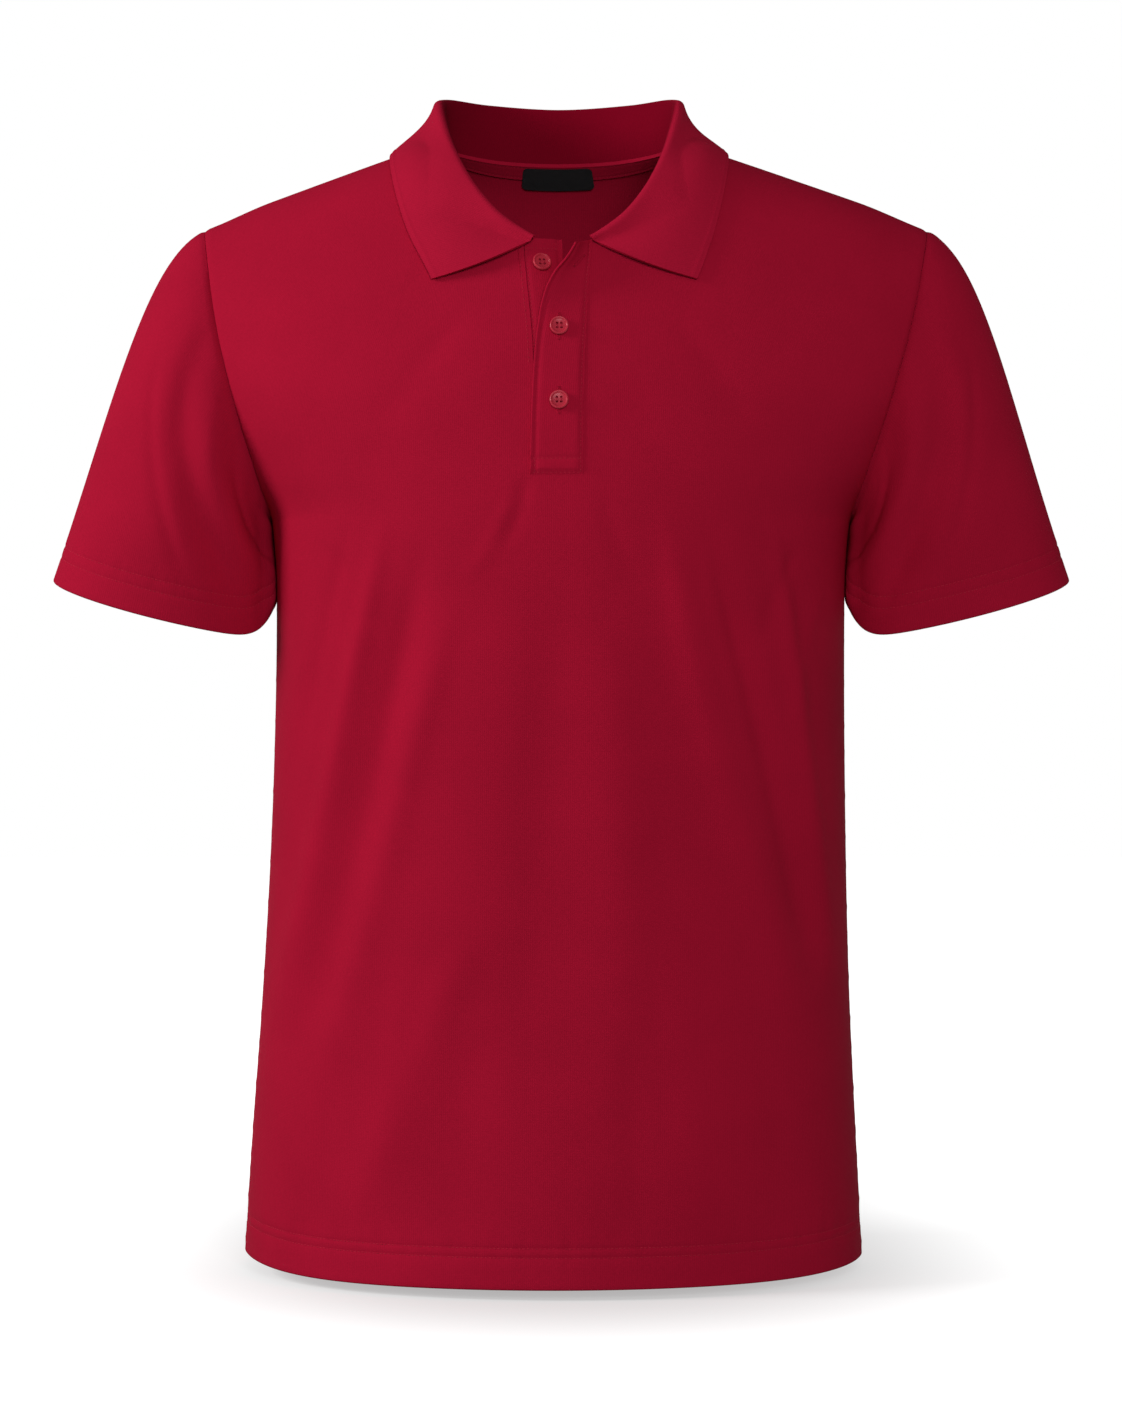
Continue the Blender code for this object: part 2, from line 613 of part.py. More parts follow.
def sleeve_grid(start, shares, rows, shift):
    """Outer face of the sleeve at +X, rows from the armhole to the cuff."""
    turn = (shares * 2 * math.pi)[:, None]
    end = CUFF_MIDDLE + shift + CUFF_OUTWARD * np.cos(turn) + CUFF_FORWARD * np.sin(turn)
    end = end + np.array((0.0, 0.0, CUFF_INNER_LIFT)) * np.maximum(-np.cos(turn), 0.0) ** 10
    quarters = through(np.linspace(0, 1, 5), np.concatenate([SLEEVE, SLEEVE[:1]]), shares, level_out=True)
    leaving, arriving = unit(quarters[:, 0:3]), unit(quarters[:, 4:7])
    near, far = start + leaving * quarters[:, 3:4], end - arriving * quarters[:, 7:8]
    t = rows[:, None, None]
    grid = (1 - t) ** 3 * start + 3 * t * (1 - t) ** 2 * near + 3 * t**2 * (1 - t) * far + t**3 * end
    proud = np.zeros((len(rows), len(shares)))
    for s0, r0, s1, r1, half, rise in SLEEVE_FOLDS:
        share = (shares[None, :] - s0) / (s1 - s0)
        middle = r0 + (r1 - r0) * share
        ends = ease(share / 0.3) * ease((1 - share) / 0.3)
        proud += rise * ends * np.exp(-(((rows[:, None] - middle) / (4 * half)) ** 2))
    proud *= ease(rows / 0.10)[:, None] * ease((1 - rows) / 0.22)[:, None]
    return grid + grid_normals(grid, closed=True) * proud[..., None]


def sleeve_rows(count):
    """Shares of the way from armhole to cuff, closer at the turned-up hem."""
    return np.concatenate([np.linspace(0, 0.84, count - 3), (0.875, 0.94, 1.0)])


def sleeve(name, front, back, sign):
    loop, shares = armhole_loop(front, back, sign)
    turned = np.array([sign, 1.0, 1.0])
    rows = sleeve_rows(SLEEVE_ROWS)
    start = (loop + off_panel(loop) * 2 * SEAM_HALF_GAP) * turned
    outer = sleeve_grid(start, shares, rows, np.array([SLEEVE_SHIFT * sign, 0.0, 0.0])) * turned
    beside = ease((UNDERARM_HEIGHT + 0.012 - outer[..., 2]) / 0.016) * ease(rows / 0.12)[:, None]
    outer += (clear_of_body(outer, SLEEVE_CLEAR) - outer) * beside[..., None]
    thick = np.where(rows > 0.85, HEM_CLOTH, CLOTH)[:, None, None]
    normals = grid_normals(outer * turned, closed=True) * turned
    normals[0] = unit(normals[0] + outward(loop))
    inner = outer - normals * thick
    faces = grid_faces(len(rows), len(shares), closed=True)
    return wall(name, outer.reshape(-1, 3), inner.reshape(-1, 3), faces, RED_KNIT, 0.85)


# ---------------------------------------------------------------- collar
def neck_seam(sign, shares):
    """Points of the neckline from the front end of the collar round to the middle of the back."""
    front = neck_line("front", sign, np.linspace(neck_share("front", sign, COLLAR_ENDS[sign]), 0, 60))
    back = neck_line("back", sign, np.linspace(0, 1, 60))
    front = body_point("front", angle_at(front[:, 0], front[:, 1]), front[:, 1])
    back = body_point("back", angle_at(back[:, 0], back[:, 1]), back[:, 1])
    return spread_along(np.concatenate([front, back[1:]]), shares)


def collar_half(sign, around):
    """Middle face of one half of the collar: rows from the neck seam over the roll to the outer edge."""
    shares = np.linspace(0, 1, around)
    rows = through(np.linspace(0, 1, len(COLLAR)), COLLAR, shares)
    seam = neck_seam(sign, np.clip(rows[:, 0], 0, 1))
    pull = (COLLAR_SHIFT + (NECK_PULL - COLLAR_SHIFT) * ease(1 - shares / 0.55))[:, None] * (1, 0, 0)
    roll = rows[:, 1:4] * (sign, 1, 1) + pull
    edge = rows[:, 4:7] * (sign, 1, 1) + pull * (1 + 0.4 * ease(1 - shares / 0.4)[:, None])
    edge = off_body(edge, COLLAR_EDGE_OFF + np.zeros(around))
    along = unit(np.gradient(roll, axis=0))
    along[-1] = (-sign, 0.0, 0.0)
    rise = roll - seam
    up = unit(rise - along * (rise * along).sum(-1, keepdims=True))
    out = np.cross(along, up) * sign
    sewn = seam - outward(seam) * CLOTH / 2 + up * COLLAR_SEAM_RISE
    crown = roll - up * ROLL_RADIUS
    stand = bent_line(sewn, crown - out * ROLL_RADIUS, up, up, COLLAR_STAND_ROWS)
    turn = np.linspace(0, ROLL_TURN, COLLAR_ROLL_ROWS + 1)[1:, None, None]
    over = crown - out * ROLL_RADIUS * np.cos(turn) + up * ROLL_RADIUS * np.sin(turn)
    leaving = out * math.sin(ROLL_TURN) + up * math.cos(ROLL_TURN)
    lying = unit(edge - crown - out * (COLLAR_STAND_OFF + ROLL_RADIUS))
    fall = bent_line(over[-1], edge, leaving, lying, COLLAR_FALL_ROWS)
    share = np.linspace(0, 1, COLLAR_FALL_ROWS + 1)[:, None]
    bow = COLLAR_FRONT_BULGE * np.sin(share * math.pi) * np.maximum(1 - shares / 0.3, 0.0) ** 2
    fall = fall - along * bow[..., None]
    fall = clear_of_body(fall, COLLAR_EDGE_OFF + (COLLAR_STAND_OFF - COLLAR_EDGE_OFF) * np.sin(share * math.pi))
    return np.concatenate([stand, over[:-1], fall])


def bent_line(start, end, leaving, arriving, count):
    """Points on a curve from start to end that leaves and arrives in the given ways."""
    reach = np.linalg.norm(end - start, axis=-1, keepdims=True) * 0.38
    t = np.linspace(0, 1, count + 1)[:, None, None]
    near, far = start + leaving * reach, end - arriving * reach
    return (1 - t) ** 3 * start + 3 * t * (1 - t) ** 2 * near + 3 * t**2 * (1 - t) * far + t**3 * end


def clear_of_body(points, distance):
    """The points, those nearer to the body's form than this distance moved out to it."""
    gradient = form_gradient(points)
    size = np.linalg.norm(gradient, axis=-1)
    short = np.maximum(distance - form_value(points) / size, 0.0)
    return points + gradient / size[..., None] * short[..., None]


def collar():
    left, right = collar_half(-1, COLLAR_AROUND), collar_half(1, COLLAR_AROUND)
    grid = np.concatenate([left, right[:, -2::-1]], axis=1)
    normals = grid_normals(grid)
    outer = (grid + normals * COLLAR_CLOTH / 2).reshape(-1, 3)
    inner = (grid - normals * COLLAR_CLOTH / 2).reshape(-1, 3)
    faces = grid_faces(grid.shape[0], grid.shape[1])
    return wall("collar", outer, inner, faces, RED_RIB, 0.9)


# ---------------------------------------------------------------- placket, tape, label and buttons
def placket_at(height, column):
    return through(PLACKET[:, AT], PLACKET[:, column], height, level_out=True)


def front_point(x, height):
    """Outer face of the front at a place seen from the front."""
    return body_point("front", angle_at(x, height), height)


def upper_band(width_share, height):
    """Outer face of the upper band: width_share is 0 at its sewn edge and 1 at its free edge."""
    free, sewn, forward = (placket_at(height, column) for column in (FREE, SEWN, FORWARD))
    x = sewn + (free - sewn) * width_share
    base = front_point(x, height)
    drop = UPPER_BAND_DROP * ease((height - UPPER_BAND_TOP) / 0.045 + 1) * width_share
    return base + outward(base, "front") * (LAY_GAP + CLOTH) + np.stack(
        [np.zeros_like(x), -forward * width_share**1.5, -drop], axis=-1
    )


def slot_edge(height):
    """The slot's edge towards -X, as the front panel's straight facets run."""
    column = upper_column("front", -1, 1.0)
    edge = spread_along(column, upper_rows(slot_share("front", column), column))
    return np.interp(height, edge[:, 2], edge[:, 0])


def under_band(width_share, height):
    """Outer face of the under band: width_share is 0 at its sewn edge and 1 at its free edge."""
    free, back = placket_at(height, UNDER), placket_at(height, FALLS_BACK)
    sewn = slot_edge(height) + 2 * SEAM_HALF_GAP
    x = sewn + (free - sewn) * width_share
    base = front_point(x, height)
    return base + np.stack([np.zeros_like(x), back * width_share**1.5, np.zeros_like(x)], axis=-1)


def band(name, surface, foot, top, rows, columns):
    share, height = np.meshgrid(np.linspace(0, 1, columns), np.linspace(foot, top, rows))
    outer = surface(share, height)
    normals = grid_normals(outer)
    normals *= np.sign(-normals[..., 1:2])
    inner = outer - normals * CLOTH
    faces = grid_faces(rows, columns)
    return wall(name, outer.reshape(-1, 3), inner.reshape(-1, 3), faces, RED_KNIT, 0.85)


def inside_back(name, back, columns, rows, gap, colour, roughness):
    """A flat piece on the inside of the back: columns are numbers along the back's grid, which may fall
    between two of its columns, and rows are its row numbers from the bottom up."""
    whole = np.arange(back.shape[1])
    grid = np.stack(
        [np.stack([np.interp(columns, whole, axis) for axis in back[row].T], axis=-1) for row in rows]
    )
    normals = outward(grid, "back")
    near = grid - normals * (CLOTH + gap)
    far = near - normals * TRIM_CLOTH
    faces = grid_faces(len(rows), len(columns))
    on_right = [columns[face[0] % len(columns)] >= SIDE_COLUMNS - 1 for face in faces]
    faces = [face[1:] + face[:1] if right else face for face, right in zip(faces, on_right)]
    return wall(name, near.reshape(-1, 3), far.reshape(-1, 3), faces, colour, roughness)


def neck_tape(back):
    first = math.ceil(SHOULDER_SHARE * (SIDE_COLUMNS - 1))
    columns = np.arange(first, back.shape[1] - first)
    return inside_back("neck_tape", back, columns, (-2, -1), LAY_GAP, RED_KNIT, 0.8)


def neck_label(back):
    middle = SIDE_COLUMNS - 1
    half = LABEL_HALF / np.linalg.norm(back[-1, middle + 1] - back[-1, middle])
    columns = middle + np.array([-half, -1.0, 0.0, 1.0, half])
    return inside_back("neck_label", back, columns, (-3, -2, -1), 2 * LAY_GAP + TRIM_CLOTH, BLACK_WOVEN, 0.6)


def button_profile():
    """Half section of a button: distance from its middle and height above its underside."""
    return (
        (BUTTON_RADIUS * 0.80, 0.0),
        (BUTTON_RADIUS * 0.97, BUTTON_THICK * 0.28),
        (BUTTON_RADIUS, BUTTON_THICK * 0.55),
        (BUTTON_RADIUS * 0.94, BUTTON_THICK * 0.90),
        (BUTTON_RADIUS * 0.85, BUTTON_THICK),
        (BUTTON_RADIUS * 0.74, BUTTON_THICK * 0.88),
        (BUTTON_RADIUS * 0.64, BUTTON_THICK * 0.66),
    )


def button(name, across, height, band_name):
    """A four-hole button with a raised rim, lying on its band."""
    surface = upper_band if band_name == "upper" else under_band
    free = placket_at(height, FREE if band_name == "upper" else UNDER)
    sewn = placket_at(height, SEWN if band_name == "upper" else SLOT)
    share = (across - sewn) / (free - sewn)
    nudge = 0.002
    seat = surface(np.array([share]), np.array([height]))[0]
    beside = surface(np.array([share + 0.1]), np.array([height]))[0] - seat
    above = surface(np.array([share]), np.array([height + nudge]))[0] - seat
    normal = unit(np.cross(beside, above))
    normal *= -np.sign(normal[1])
    right = unit(np.cross((0, 0, 1), -normal)) * -1
    up = np.cross(normal, right)
    sides = 24
    points, faces = [], []
    profile = button_profile()
    for radius, rise in profile:
        for step in range(sides):
            turn = 2 * math.pi * step / sides
            points.append((radius * math.cos(turn), radius * math.sin(turn), rise))
    faces += grid_faces(len(profile), sides, closed=True)
    faces.append(tuple(reversed(range(sides))))
    faces.append(tuple((len(profile) - 1) * sides + step for step in range(sides)))
    points = np.array(points)
    base = seat + normal * LAY_GAP
    placed = base + points[:, :1] * right + points[:, 1:2] * up + points[:, 2:] * normal
    made = solid(name, placed, faces, RED_BUTTON, 0.35)
    for step in range(4):
        turn = math.pi / 4 + step * math.pi / 2
        middle = base + right * BUTTON_HOLE_SPREAD * math.cos(turn) + up * BUTTON_HOLE_SPREAD * math.sin(turn)
        drill_hole(made, f"{name}_hole_{step}", middle, right, up, normal)
    return made


def drill_hole(piece, name, middle, right, up, normal):
    sides = 8
    points = []
    for rise in (-BUTTON_THICK, 2 * BUTTON_THICK):
        for step in range(sides):
            turn = 2 * math.pi * step / sides
            spoke = right * math.cos(turn) + up * math.sin(turn)
            points.append(middle + spoke * BUTTON_HOLE_RADIUS + normal * rise)
    faces = grid_faces(2, sides, closed=True) + [tuple(reversed(range(sides))), tuple(range(sides, 2 * sides))]
    cutter = solid(name, points, faces, RED_BUTTON, 0.35)
    cutter.hide_render = True
    cutter.display_type = "WIRE"
    cut = piece.modifiers.new(name, "BOOLEAN")
    cut.operation = "DIFFERENCE"
    cut.object = cutter


def main():
    clear_scene()
    front = panel("front")
    back = panel("back")
    sleeve("left_sleeve", front, back, 1)
    sleeve("right_sleeve", front, back, -1)
    collar()
    band("upper_placket", upper_band, PLACKET_FOOT, UPPER_BAND_TOP, 22, 7)
    band("under_placket", under_band, PLACKET_SLOT_FOOT + 2 * SEAM_HALF_GAP, UNDER_BAND_TOP, 20, 6)
    neck_tape(back)
    neck_label(back)
    for row in BUTTONS:
        button(*row)


main()
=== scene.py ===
"""A deep crimson short-sleeved polo shirt in worn form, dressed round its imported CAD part.

Metres, +Z up. The front faces -Y and +X is the wearer's left. The cloth pieces are fine sheets on the same
form as the solids that they replace: a body of horizontal sections with a rounded shoulder ridge, sleeves
from the armhole to the cuff, and a collar from its neck seam over its roll line to its outer edge.
"""

import math

import bmesh
import bpy
import numpy as np
from mathutils import Matrix, Vector


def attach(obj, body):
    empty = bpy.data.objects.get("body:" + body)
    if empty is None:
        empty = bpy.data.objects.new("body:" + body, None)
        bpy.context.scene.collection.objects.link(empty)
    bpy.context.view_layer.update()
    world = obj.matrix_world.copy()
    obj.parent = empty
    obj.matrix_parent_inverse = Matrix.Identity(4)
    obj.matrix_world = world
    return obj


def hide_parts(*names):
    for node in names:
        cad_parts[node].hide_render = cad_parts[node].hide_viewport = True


bl_info = {
    "name": "Polo shirt",
    "version": (1, 0, 0),
    "blender": (4, 5, 0),
    "location": "3D View > Sidebar > Polo shirt",
    "description": "Dresses a worn polo shirt's solids in knitted cloth, stitching and buttons",
    "category": "Object",
}

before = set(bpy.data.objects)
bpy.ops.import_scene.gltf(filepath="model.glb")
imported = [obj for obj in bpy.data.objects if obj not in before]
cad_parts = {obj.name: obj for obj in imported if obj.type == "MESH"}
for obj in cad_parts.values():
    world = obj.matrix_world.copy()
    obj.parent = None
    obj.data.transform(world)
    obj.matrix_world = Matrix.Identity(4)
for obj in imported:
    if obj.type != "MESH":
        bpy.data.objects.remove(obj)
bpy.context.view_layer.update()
BODY_NAME = "root"
SIDES = (("left", 1), ("right", -1))

# ---------------- sizes of the form
HEM_HEIGHT = -0.7290
HEM_SIDE_LIFT = {-1: 0.0066, 1: 0.0040}
HEM_LIFT_TOP = -0.620
HEM_LIFT_SPAN = 0.10  # down from that height, over which the sides of the hem come to their full lift
HEM_LIFT_POWER = 8  # the higher, the closer to the side seams the hem is lifted
UNDERARM_HEIGHT = -0.250
SHOULDER_HALF = 0.2355
NECK_HALF = 0.078
SHOULDER_SLOPE = 0.365
RIDGE_SOFTNESS = 0.040
SHOULDER_TIP_DROP = 0.0022
SHOULDER_TIP_SPAN = 0.045  # inwards from the tip, over which the ridge drops to it
SHOULDER_ROUND = 0.140  # how slowly the shoulders round off below their ridge
WALL = 0.0014  # wall of the solids' single cloth
HEM_WALL = 0.0026  # wall of the solids' turned-up hems
HEM_HALF_GAP = 0.000002  # where the hems of the front and back meet, with no allowance behind
SEAM_HALF_GAP = 0.00015
LAY_GAP = 0.0003  # between the front and the upper band on it

# The body by height, from the hem up: its half width, how far its front and back stand out, how square its
# section is, and how far its middle stands towards +X.
BODY = np.array(
    [
        # height  half    front   back    square  middle
        (-0.729, 0.2018, 0.1310, 0.1190, 2.00, -0.0027),
        (-0.640, 0.1965, 0.1280, 0.1140, 2.08, -0.0021),
        (-0.560, 0.1916, 0.1265, 0.1100, 2.14, -0.0010),
        (-0.430, 0.1866, 0.1275, 0.1055, 2.20, 0.0010),
        (-0.315, 0.1850, 0.1310, 0.1120, 2.26, 0.0020),
        (-0.250, 0.1880, 0.1305, 0.1175, 2.30, 0.0022),
        (-0.220, 0.2050, 0.1290, 0.1190, 2.33, 0.0025),
        (-0.190, 0.2240, 0.1265, 0.1195, 2.36, 0.0028),
        (-0.165, 0.2380, 0.1230, 0.1195, 2.38, 0.0032),
        (-0.130, 0.2530, 0.1150, 0.1195, 2.40, 0.0038),
        (-0.100, 0.2620, 0.1085, 0.1200, 2.40, 0.0045),
        (-0.060, 0.2680, 0.1010, 0.1215, 2.40, 0.0054),
        (0.000, 0.2720, 0.0970, 0.1225, 2.40, 0.0012),
        (0.040, 0.2740, 0.0950, 0.1225, 2.40, 0.0000),
    ]
)
HEIGHT, HALF, FRONT, BACK, SQUARE, MIDDLE = range(6)

# The armhole from the underarm up to just below the shoulder tip: height and degrees round the body.
ARMHOLE = {
    "front": ((-0.2500, 90.0), (-0.2488, 87.0), (-0.2452, 83.6), (-0.2354, 77.8), (-0.2200, 71.5),
              (-0.2000, 66.4), (-0.1800, 62.8), (-0.1600, 60.3), (-0.1300, 58.4), (-0.1000, 57.6)),
    "back": ((-0.2500, 90.0), (-0.2486, 86.4), (-0.2445, 82.4), (-0.2345, 76.4), (-0.2200, 71.0),
             (-0.2000, 67.0), (-0.1800, 65.0), (-0.1600, 63.6), (-0.1300, 62.0), (-0.1000, 60.4)),
}

# The neckline from the high shoulder point towards the middle: distance from the middle and height.
NECKLINE = {
    "front": ((0.0780, 0.0000), (0.0768, -0.0130), (0.0715, -0.0290), (0.0615, -0.0445),
              (0.0485, -0.0580), (0.0345, -0.0680), (0.0185, -0.0740), (0.0110, -0.0756)),
    "back": ((0.0780, 0.0000), (0.0690, -0.0014), (0.0560, -0.0028), (0.0400, -0.0040),
             (0.0200, -0.0046), (0.0000, -0.0048)),
}
NECK_ENDS = {-1: 0.0212, 1: 0.0170}  # across, where each side of the neckline ends beside the placket
COLLAR_ENDS = {-1: 0.0154, 1: 0.0216}  # across, where the collar's front ends are sewn on
NECK_PULL = 0.0031  # by which the neckline is drawn towards +X at its front
NECK_POINTS = 60  # of a line along half a neckline
SHOULDER_SHARE = 0.56  # of a half panel's width that ends on the shoulder seam

# Soft folds: start and end (across, height), bow sideways, half width and height, which is
# below zero for a trough. The back's are those of the solid. The front's are finer and deeper than its
# solid's, and most stand a little beside them.
FOLDS = {
    "front": (
        # start            end              bow     half    height
        (-0.1075, -0.238, -0.181, -0.590, 0.002, 0.010, 0.0060),
        (-0.083, -0.250, -0.168, -0.620, 0.0035, 0.013, -0.0046),
        (-0.064, -0.285, -0.162, -0.650, 0.002, 0.013, 0.0026),
        (-0.052, -0.500, -0.126, -0.700, 0.000, 0.016, 0.0016),
        (-0.006, -0.275, -0.012, -0.600, 0.002, 0.022, -0.0020),
        (0.030, -0.300, 0.044, -0.640, 0.003, 0.018, 0.0016),
        (0.064, -0.235, 0.162, -0.590, -0.010, 0.014, 0.0044),
        (0.088, -0.240, 0.170, -0.560, 0.002, 0.009, -0.0044),
        (0.130, -0.235, 0.180, -0.560, 0.000, 0.007, 0.0034),
        (-0.052, -0.560, -0.070, -0.727, 0.002, 0.022, -0.0016),
        (0.076, -0.520, 0.104, -0.727, -0.003, 0.022, 0.0018),
        (-0.020, -0.222, -0.036, -0.272, 0.001, 0.005, -0.0012),
    ),
    "back": (
        (-0.112, -0.235, -0.100, -0.560, 0.010, 0.022, -0.0026),
        (-0.080, -0.200, -0.060, -0.520, 0.008, 0.020, 0.0024),
        (0.000, -0.230, 0.006, -0.640, 0.004, 0.026, -0.0030),
        (0.074, -0.205, 0.058, -0.540, -0.008, 0.020, 0.0024),
        (0.110, -0.240, 0.104, -0.600, -0.010, 0.022, -0.0026),
        (-0.140, -0.330, -0.150, -0.660, 0.004, 0.018, 0.0022),
        (0.142, -0.350, 0.152, -0.680, -0.004, 0.018, 0.0022),
    ),
}
# Finer creases that only the cloth has, in the same columns.
CREASES = {
    "front": (
        (-0.150, -0.262, -0.118, -0.330, 0.004, 0.006, -0.0011),
        (-0.131, -0.244, -0.176, -0.440, 0.000, 0.007, -0.0020),
        (0.152, -0.262, 0.126, -0.338, -0.004, 0.006, -0.0011),
        (0.166, -0.288, 0.148, -0.390, -0.003, 0.006, 0.0009),
        (-0.026, -0.232, -0.058, -0.292, 0.002, 0.006, 0.0008),
        (0.024, -0.232, 0.050, -0.300, -0.002, 0.007, -0.0007),
        (-0.096, -0.520, -0.118, -0.700, 0.003, 0.011, 0.0008),
        (0.044, -0.560, 0.052, -0.715, 0.002, 0.010, -0.0007),
        (0.128, -0.560, 0.150, -0.715, 0.003, 0.011, -0.0009),
        (-0.140, -0.600, -0.156, -0.720, 0.002, 0.010, -0.0008),
        (-0.060, -0.120, -0.112, -0.200, -0.006, 0.012, -0.0009),
        (0.064, -0.118, 0.120, -0.205, 0.006, 0.012, -0.0009),
    ),
    "back": (
        (-0.150, -0.262, -0.112, -0.345, 0.004, 0.007, -0.0012),
        (0.150, -0.262, 0.108, -0.350, -0.004, 0.007, -0.0012),
        (-0.160, -0.292, -0.132, -0.400, 0.004, 0.007, 0.0009),
        (0.160, -0.296, 0.130, -0.410, -0.004, 0.007, 0.0009),
        (-0.036, -0.420, -0.044, -0.640, 0.003, 0.013, 0.0009),
        (0.040, -0.440, 0.046, -0.660, -0.003, 0.013, 0.0009),
        (-0.080, -0.600, -0.088, -0.720, 0.002, 0.011, -0.0008),
        (0.086, -0.590, 0.092, -0.720, -0.002, 0.011, 0.0008),
        (-0.090, -0.060, -0.030, -0.105, 0.004, 0.010, -0.0007),
        (0.090, -0.060, 0.030, -0.105, 0.004, 0.010, -0.0007),
    ),
}

FOLD_FADE = 0.25  # of a fold's length at each end, over which it fades
FOLD_SPREAD = (0.7, 0.5)  # share of its half width at a fold's start, and how much more at its end
FOLD_SPAN = 0.10  # down from the shoulder ridge, over which folds come to their full height

# The sleeve by quarter, from the top of the armhole round the front: the way it leaves the seam, how
# strongly, the way it meets the cuff and how strongly. X here points away from the body.
SLEEVE = np.array(
    [
        # leaving              by     arriving               by
        (0.905, 0.00, -0.425, 0.041, 0.327, 0.00, -0.945, 0.136),
        (0.780, -0.33, -0.530, 0.048, 0.200, 0.04, -0.980, 0.060),
        (0.420, 0.00, -0.908, 0.018, 0.020, 0.00, -1.000, 0.026),
        (0.780, 0.33, -0.530, 0.048, 0.200, -0.04, -0.980, 0.060),
    ]
)
SLEEVE_SHIFT = 0.0025
CUFF_MIDDLE = np.array((0.2577, -0.0080, -0.3045))
CUFF_OUTWARD = np.array((0.0733, 0.0, 0.0180))
CUFF_FORWARD = np.array((0.0, -0.0480, -0.0086))
CUFF_INNER_LIFT = 0.0235
CUFF_LIFT_POWER = 10  # the higher, the closer to the body the cuff is lifted
SLEEVE_CLEAR = 0.0008  # between a sleeve and the body beside it
SLEEVE_NEAR = 0.0110  # within which a sleeve is drawn up to the body
DRAWN_FROM = 0.012  # above the underarm, where a sleeve starts to be drawn up
DRAWN_SPAN = 0.016  # down from there, over which that comes to its full share
DRAWN_FADE = (0.12, 0.14)  # of a sleeve's length at the armhole and at the cuff, over which it fades
# Folds of a sleeve: share of the way round from the top over the front and share of its length, at both
# ends, then half width as a share of the way round, and height.
SLEEVE_FOLDS = (
    (0.16, 0.10, 0.40, 0.80, 0.045, -0.0042),
    (0.24, 0.05, 0.47, 0.70, 0.040, 0.0034),
    (0.60, 0.10, 0.84, 0.20, 0.045, -0.0030),
    (0.70, 0.15, 0.90, 0.60, 0.050, 0.0026),
)
# Finer creases of a sleeve that only the cloth has, in the same columns.
SLEEVE_CREASES = (
    (0.12, 0.30, 0.30, 0.86, 0.014, -0.0012),
    (0.33, 0.08, 0.46, 0.52, 0.012, -0.0011),
    (0.40, 0.30, 0.48, 0.80, 0.012, 0.0010),
    (0.55, 0.12, 0.66, 0.60, 0.012, -0.0011),
    (0.66, 0.30, 0.86, 0.80, 0.016, 0.0010),
)
SLEEVE_FOLD_FADE = 0.3  # of a fold's length at each end, over which it fades
SLEEVE_FOLD_SPANS = (0.10, 0.22)  # of a sleeve's length at the armhole and the cuff, over which folds fade
ROUND_TO_LENGTH = 4  # from a share of the way round a sleeve to one of its length

# The collar from its front end round to the middle of the back, for the side at +X.
COLLAR = np.array(
    [
        # seam   roll x   roll y   roll z   edge x   edge y   edge z
        (0.00, 0.0188, -0.0925, -0.0742, 0.0846, -0.1050, -0.0960),
        (0.14, 0.0390, -0.0856, -0.0584, 0.0912, -0.0950, -0.0812),
        (0.28, 0.0556, -0.0705, -0.0365, 0.0982, -0.0820, -0.0640),
        (0.42, 0.0682, -0.0450, -0.0095, 0.1040, -0.0560, -0.0410),
        (0.56, 0.0778, -0.0040, 0.0218, 0.1068, 0.0000, -0.0110),
        (0.70, 0.0752, 0.0290, 0.0322, 0.1000, 0.0420, -0.0120),
        (0.85, 0.0475, 0.0610, 0.0336, 0.0620, 0.0720, -0.0150),
        (1.00, 0.0000, 0.0700, 0.0322, 0.0000, 0.0800, -0.0160),
    ]
)
COLLAR_SHIFT = 0.0010  # by which the whole collar stands towards +X
COLLAR_PULLED = 0.55  # of a half collar beside its front end, which is drawn along with the neckline
EDGE_PULL, EDGE_PULLED = 0.4, 0.4  # how much more its outer edge is drawn, and over what share
COLLAR_FRONT_BULGE = 0.0042
BULGE_SHARE = 0.3  # of a half collar beside its front end, over which the bulge fades
ROLL_RADIUS = 0.0031
ROLL_TURN = 2.75  # radians round the roll
END_SHARE = 0.12  # of a half collar beside its front end, where the roll is pressed flatter
END_FLATTER = 0.55
END_LEAN = 1.3  # towards its point of the leaf's front edge where it leaves the roll
COLLAR_STAND_OFF = 0.0052  # of the middle of the fall off the body's form
COLLAR_EDGE_OFF = 0.0018
COLLAR_SEAM_RISE = 0.0005
BEND_REACH = 0.38  # of the way between its ends, how strongly a curve keeps to its first and last direction

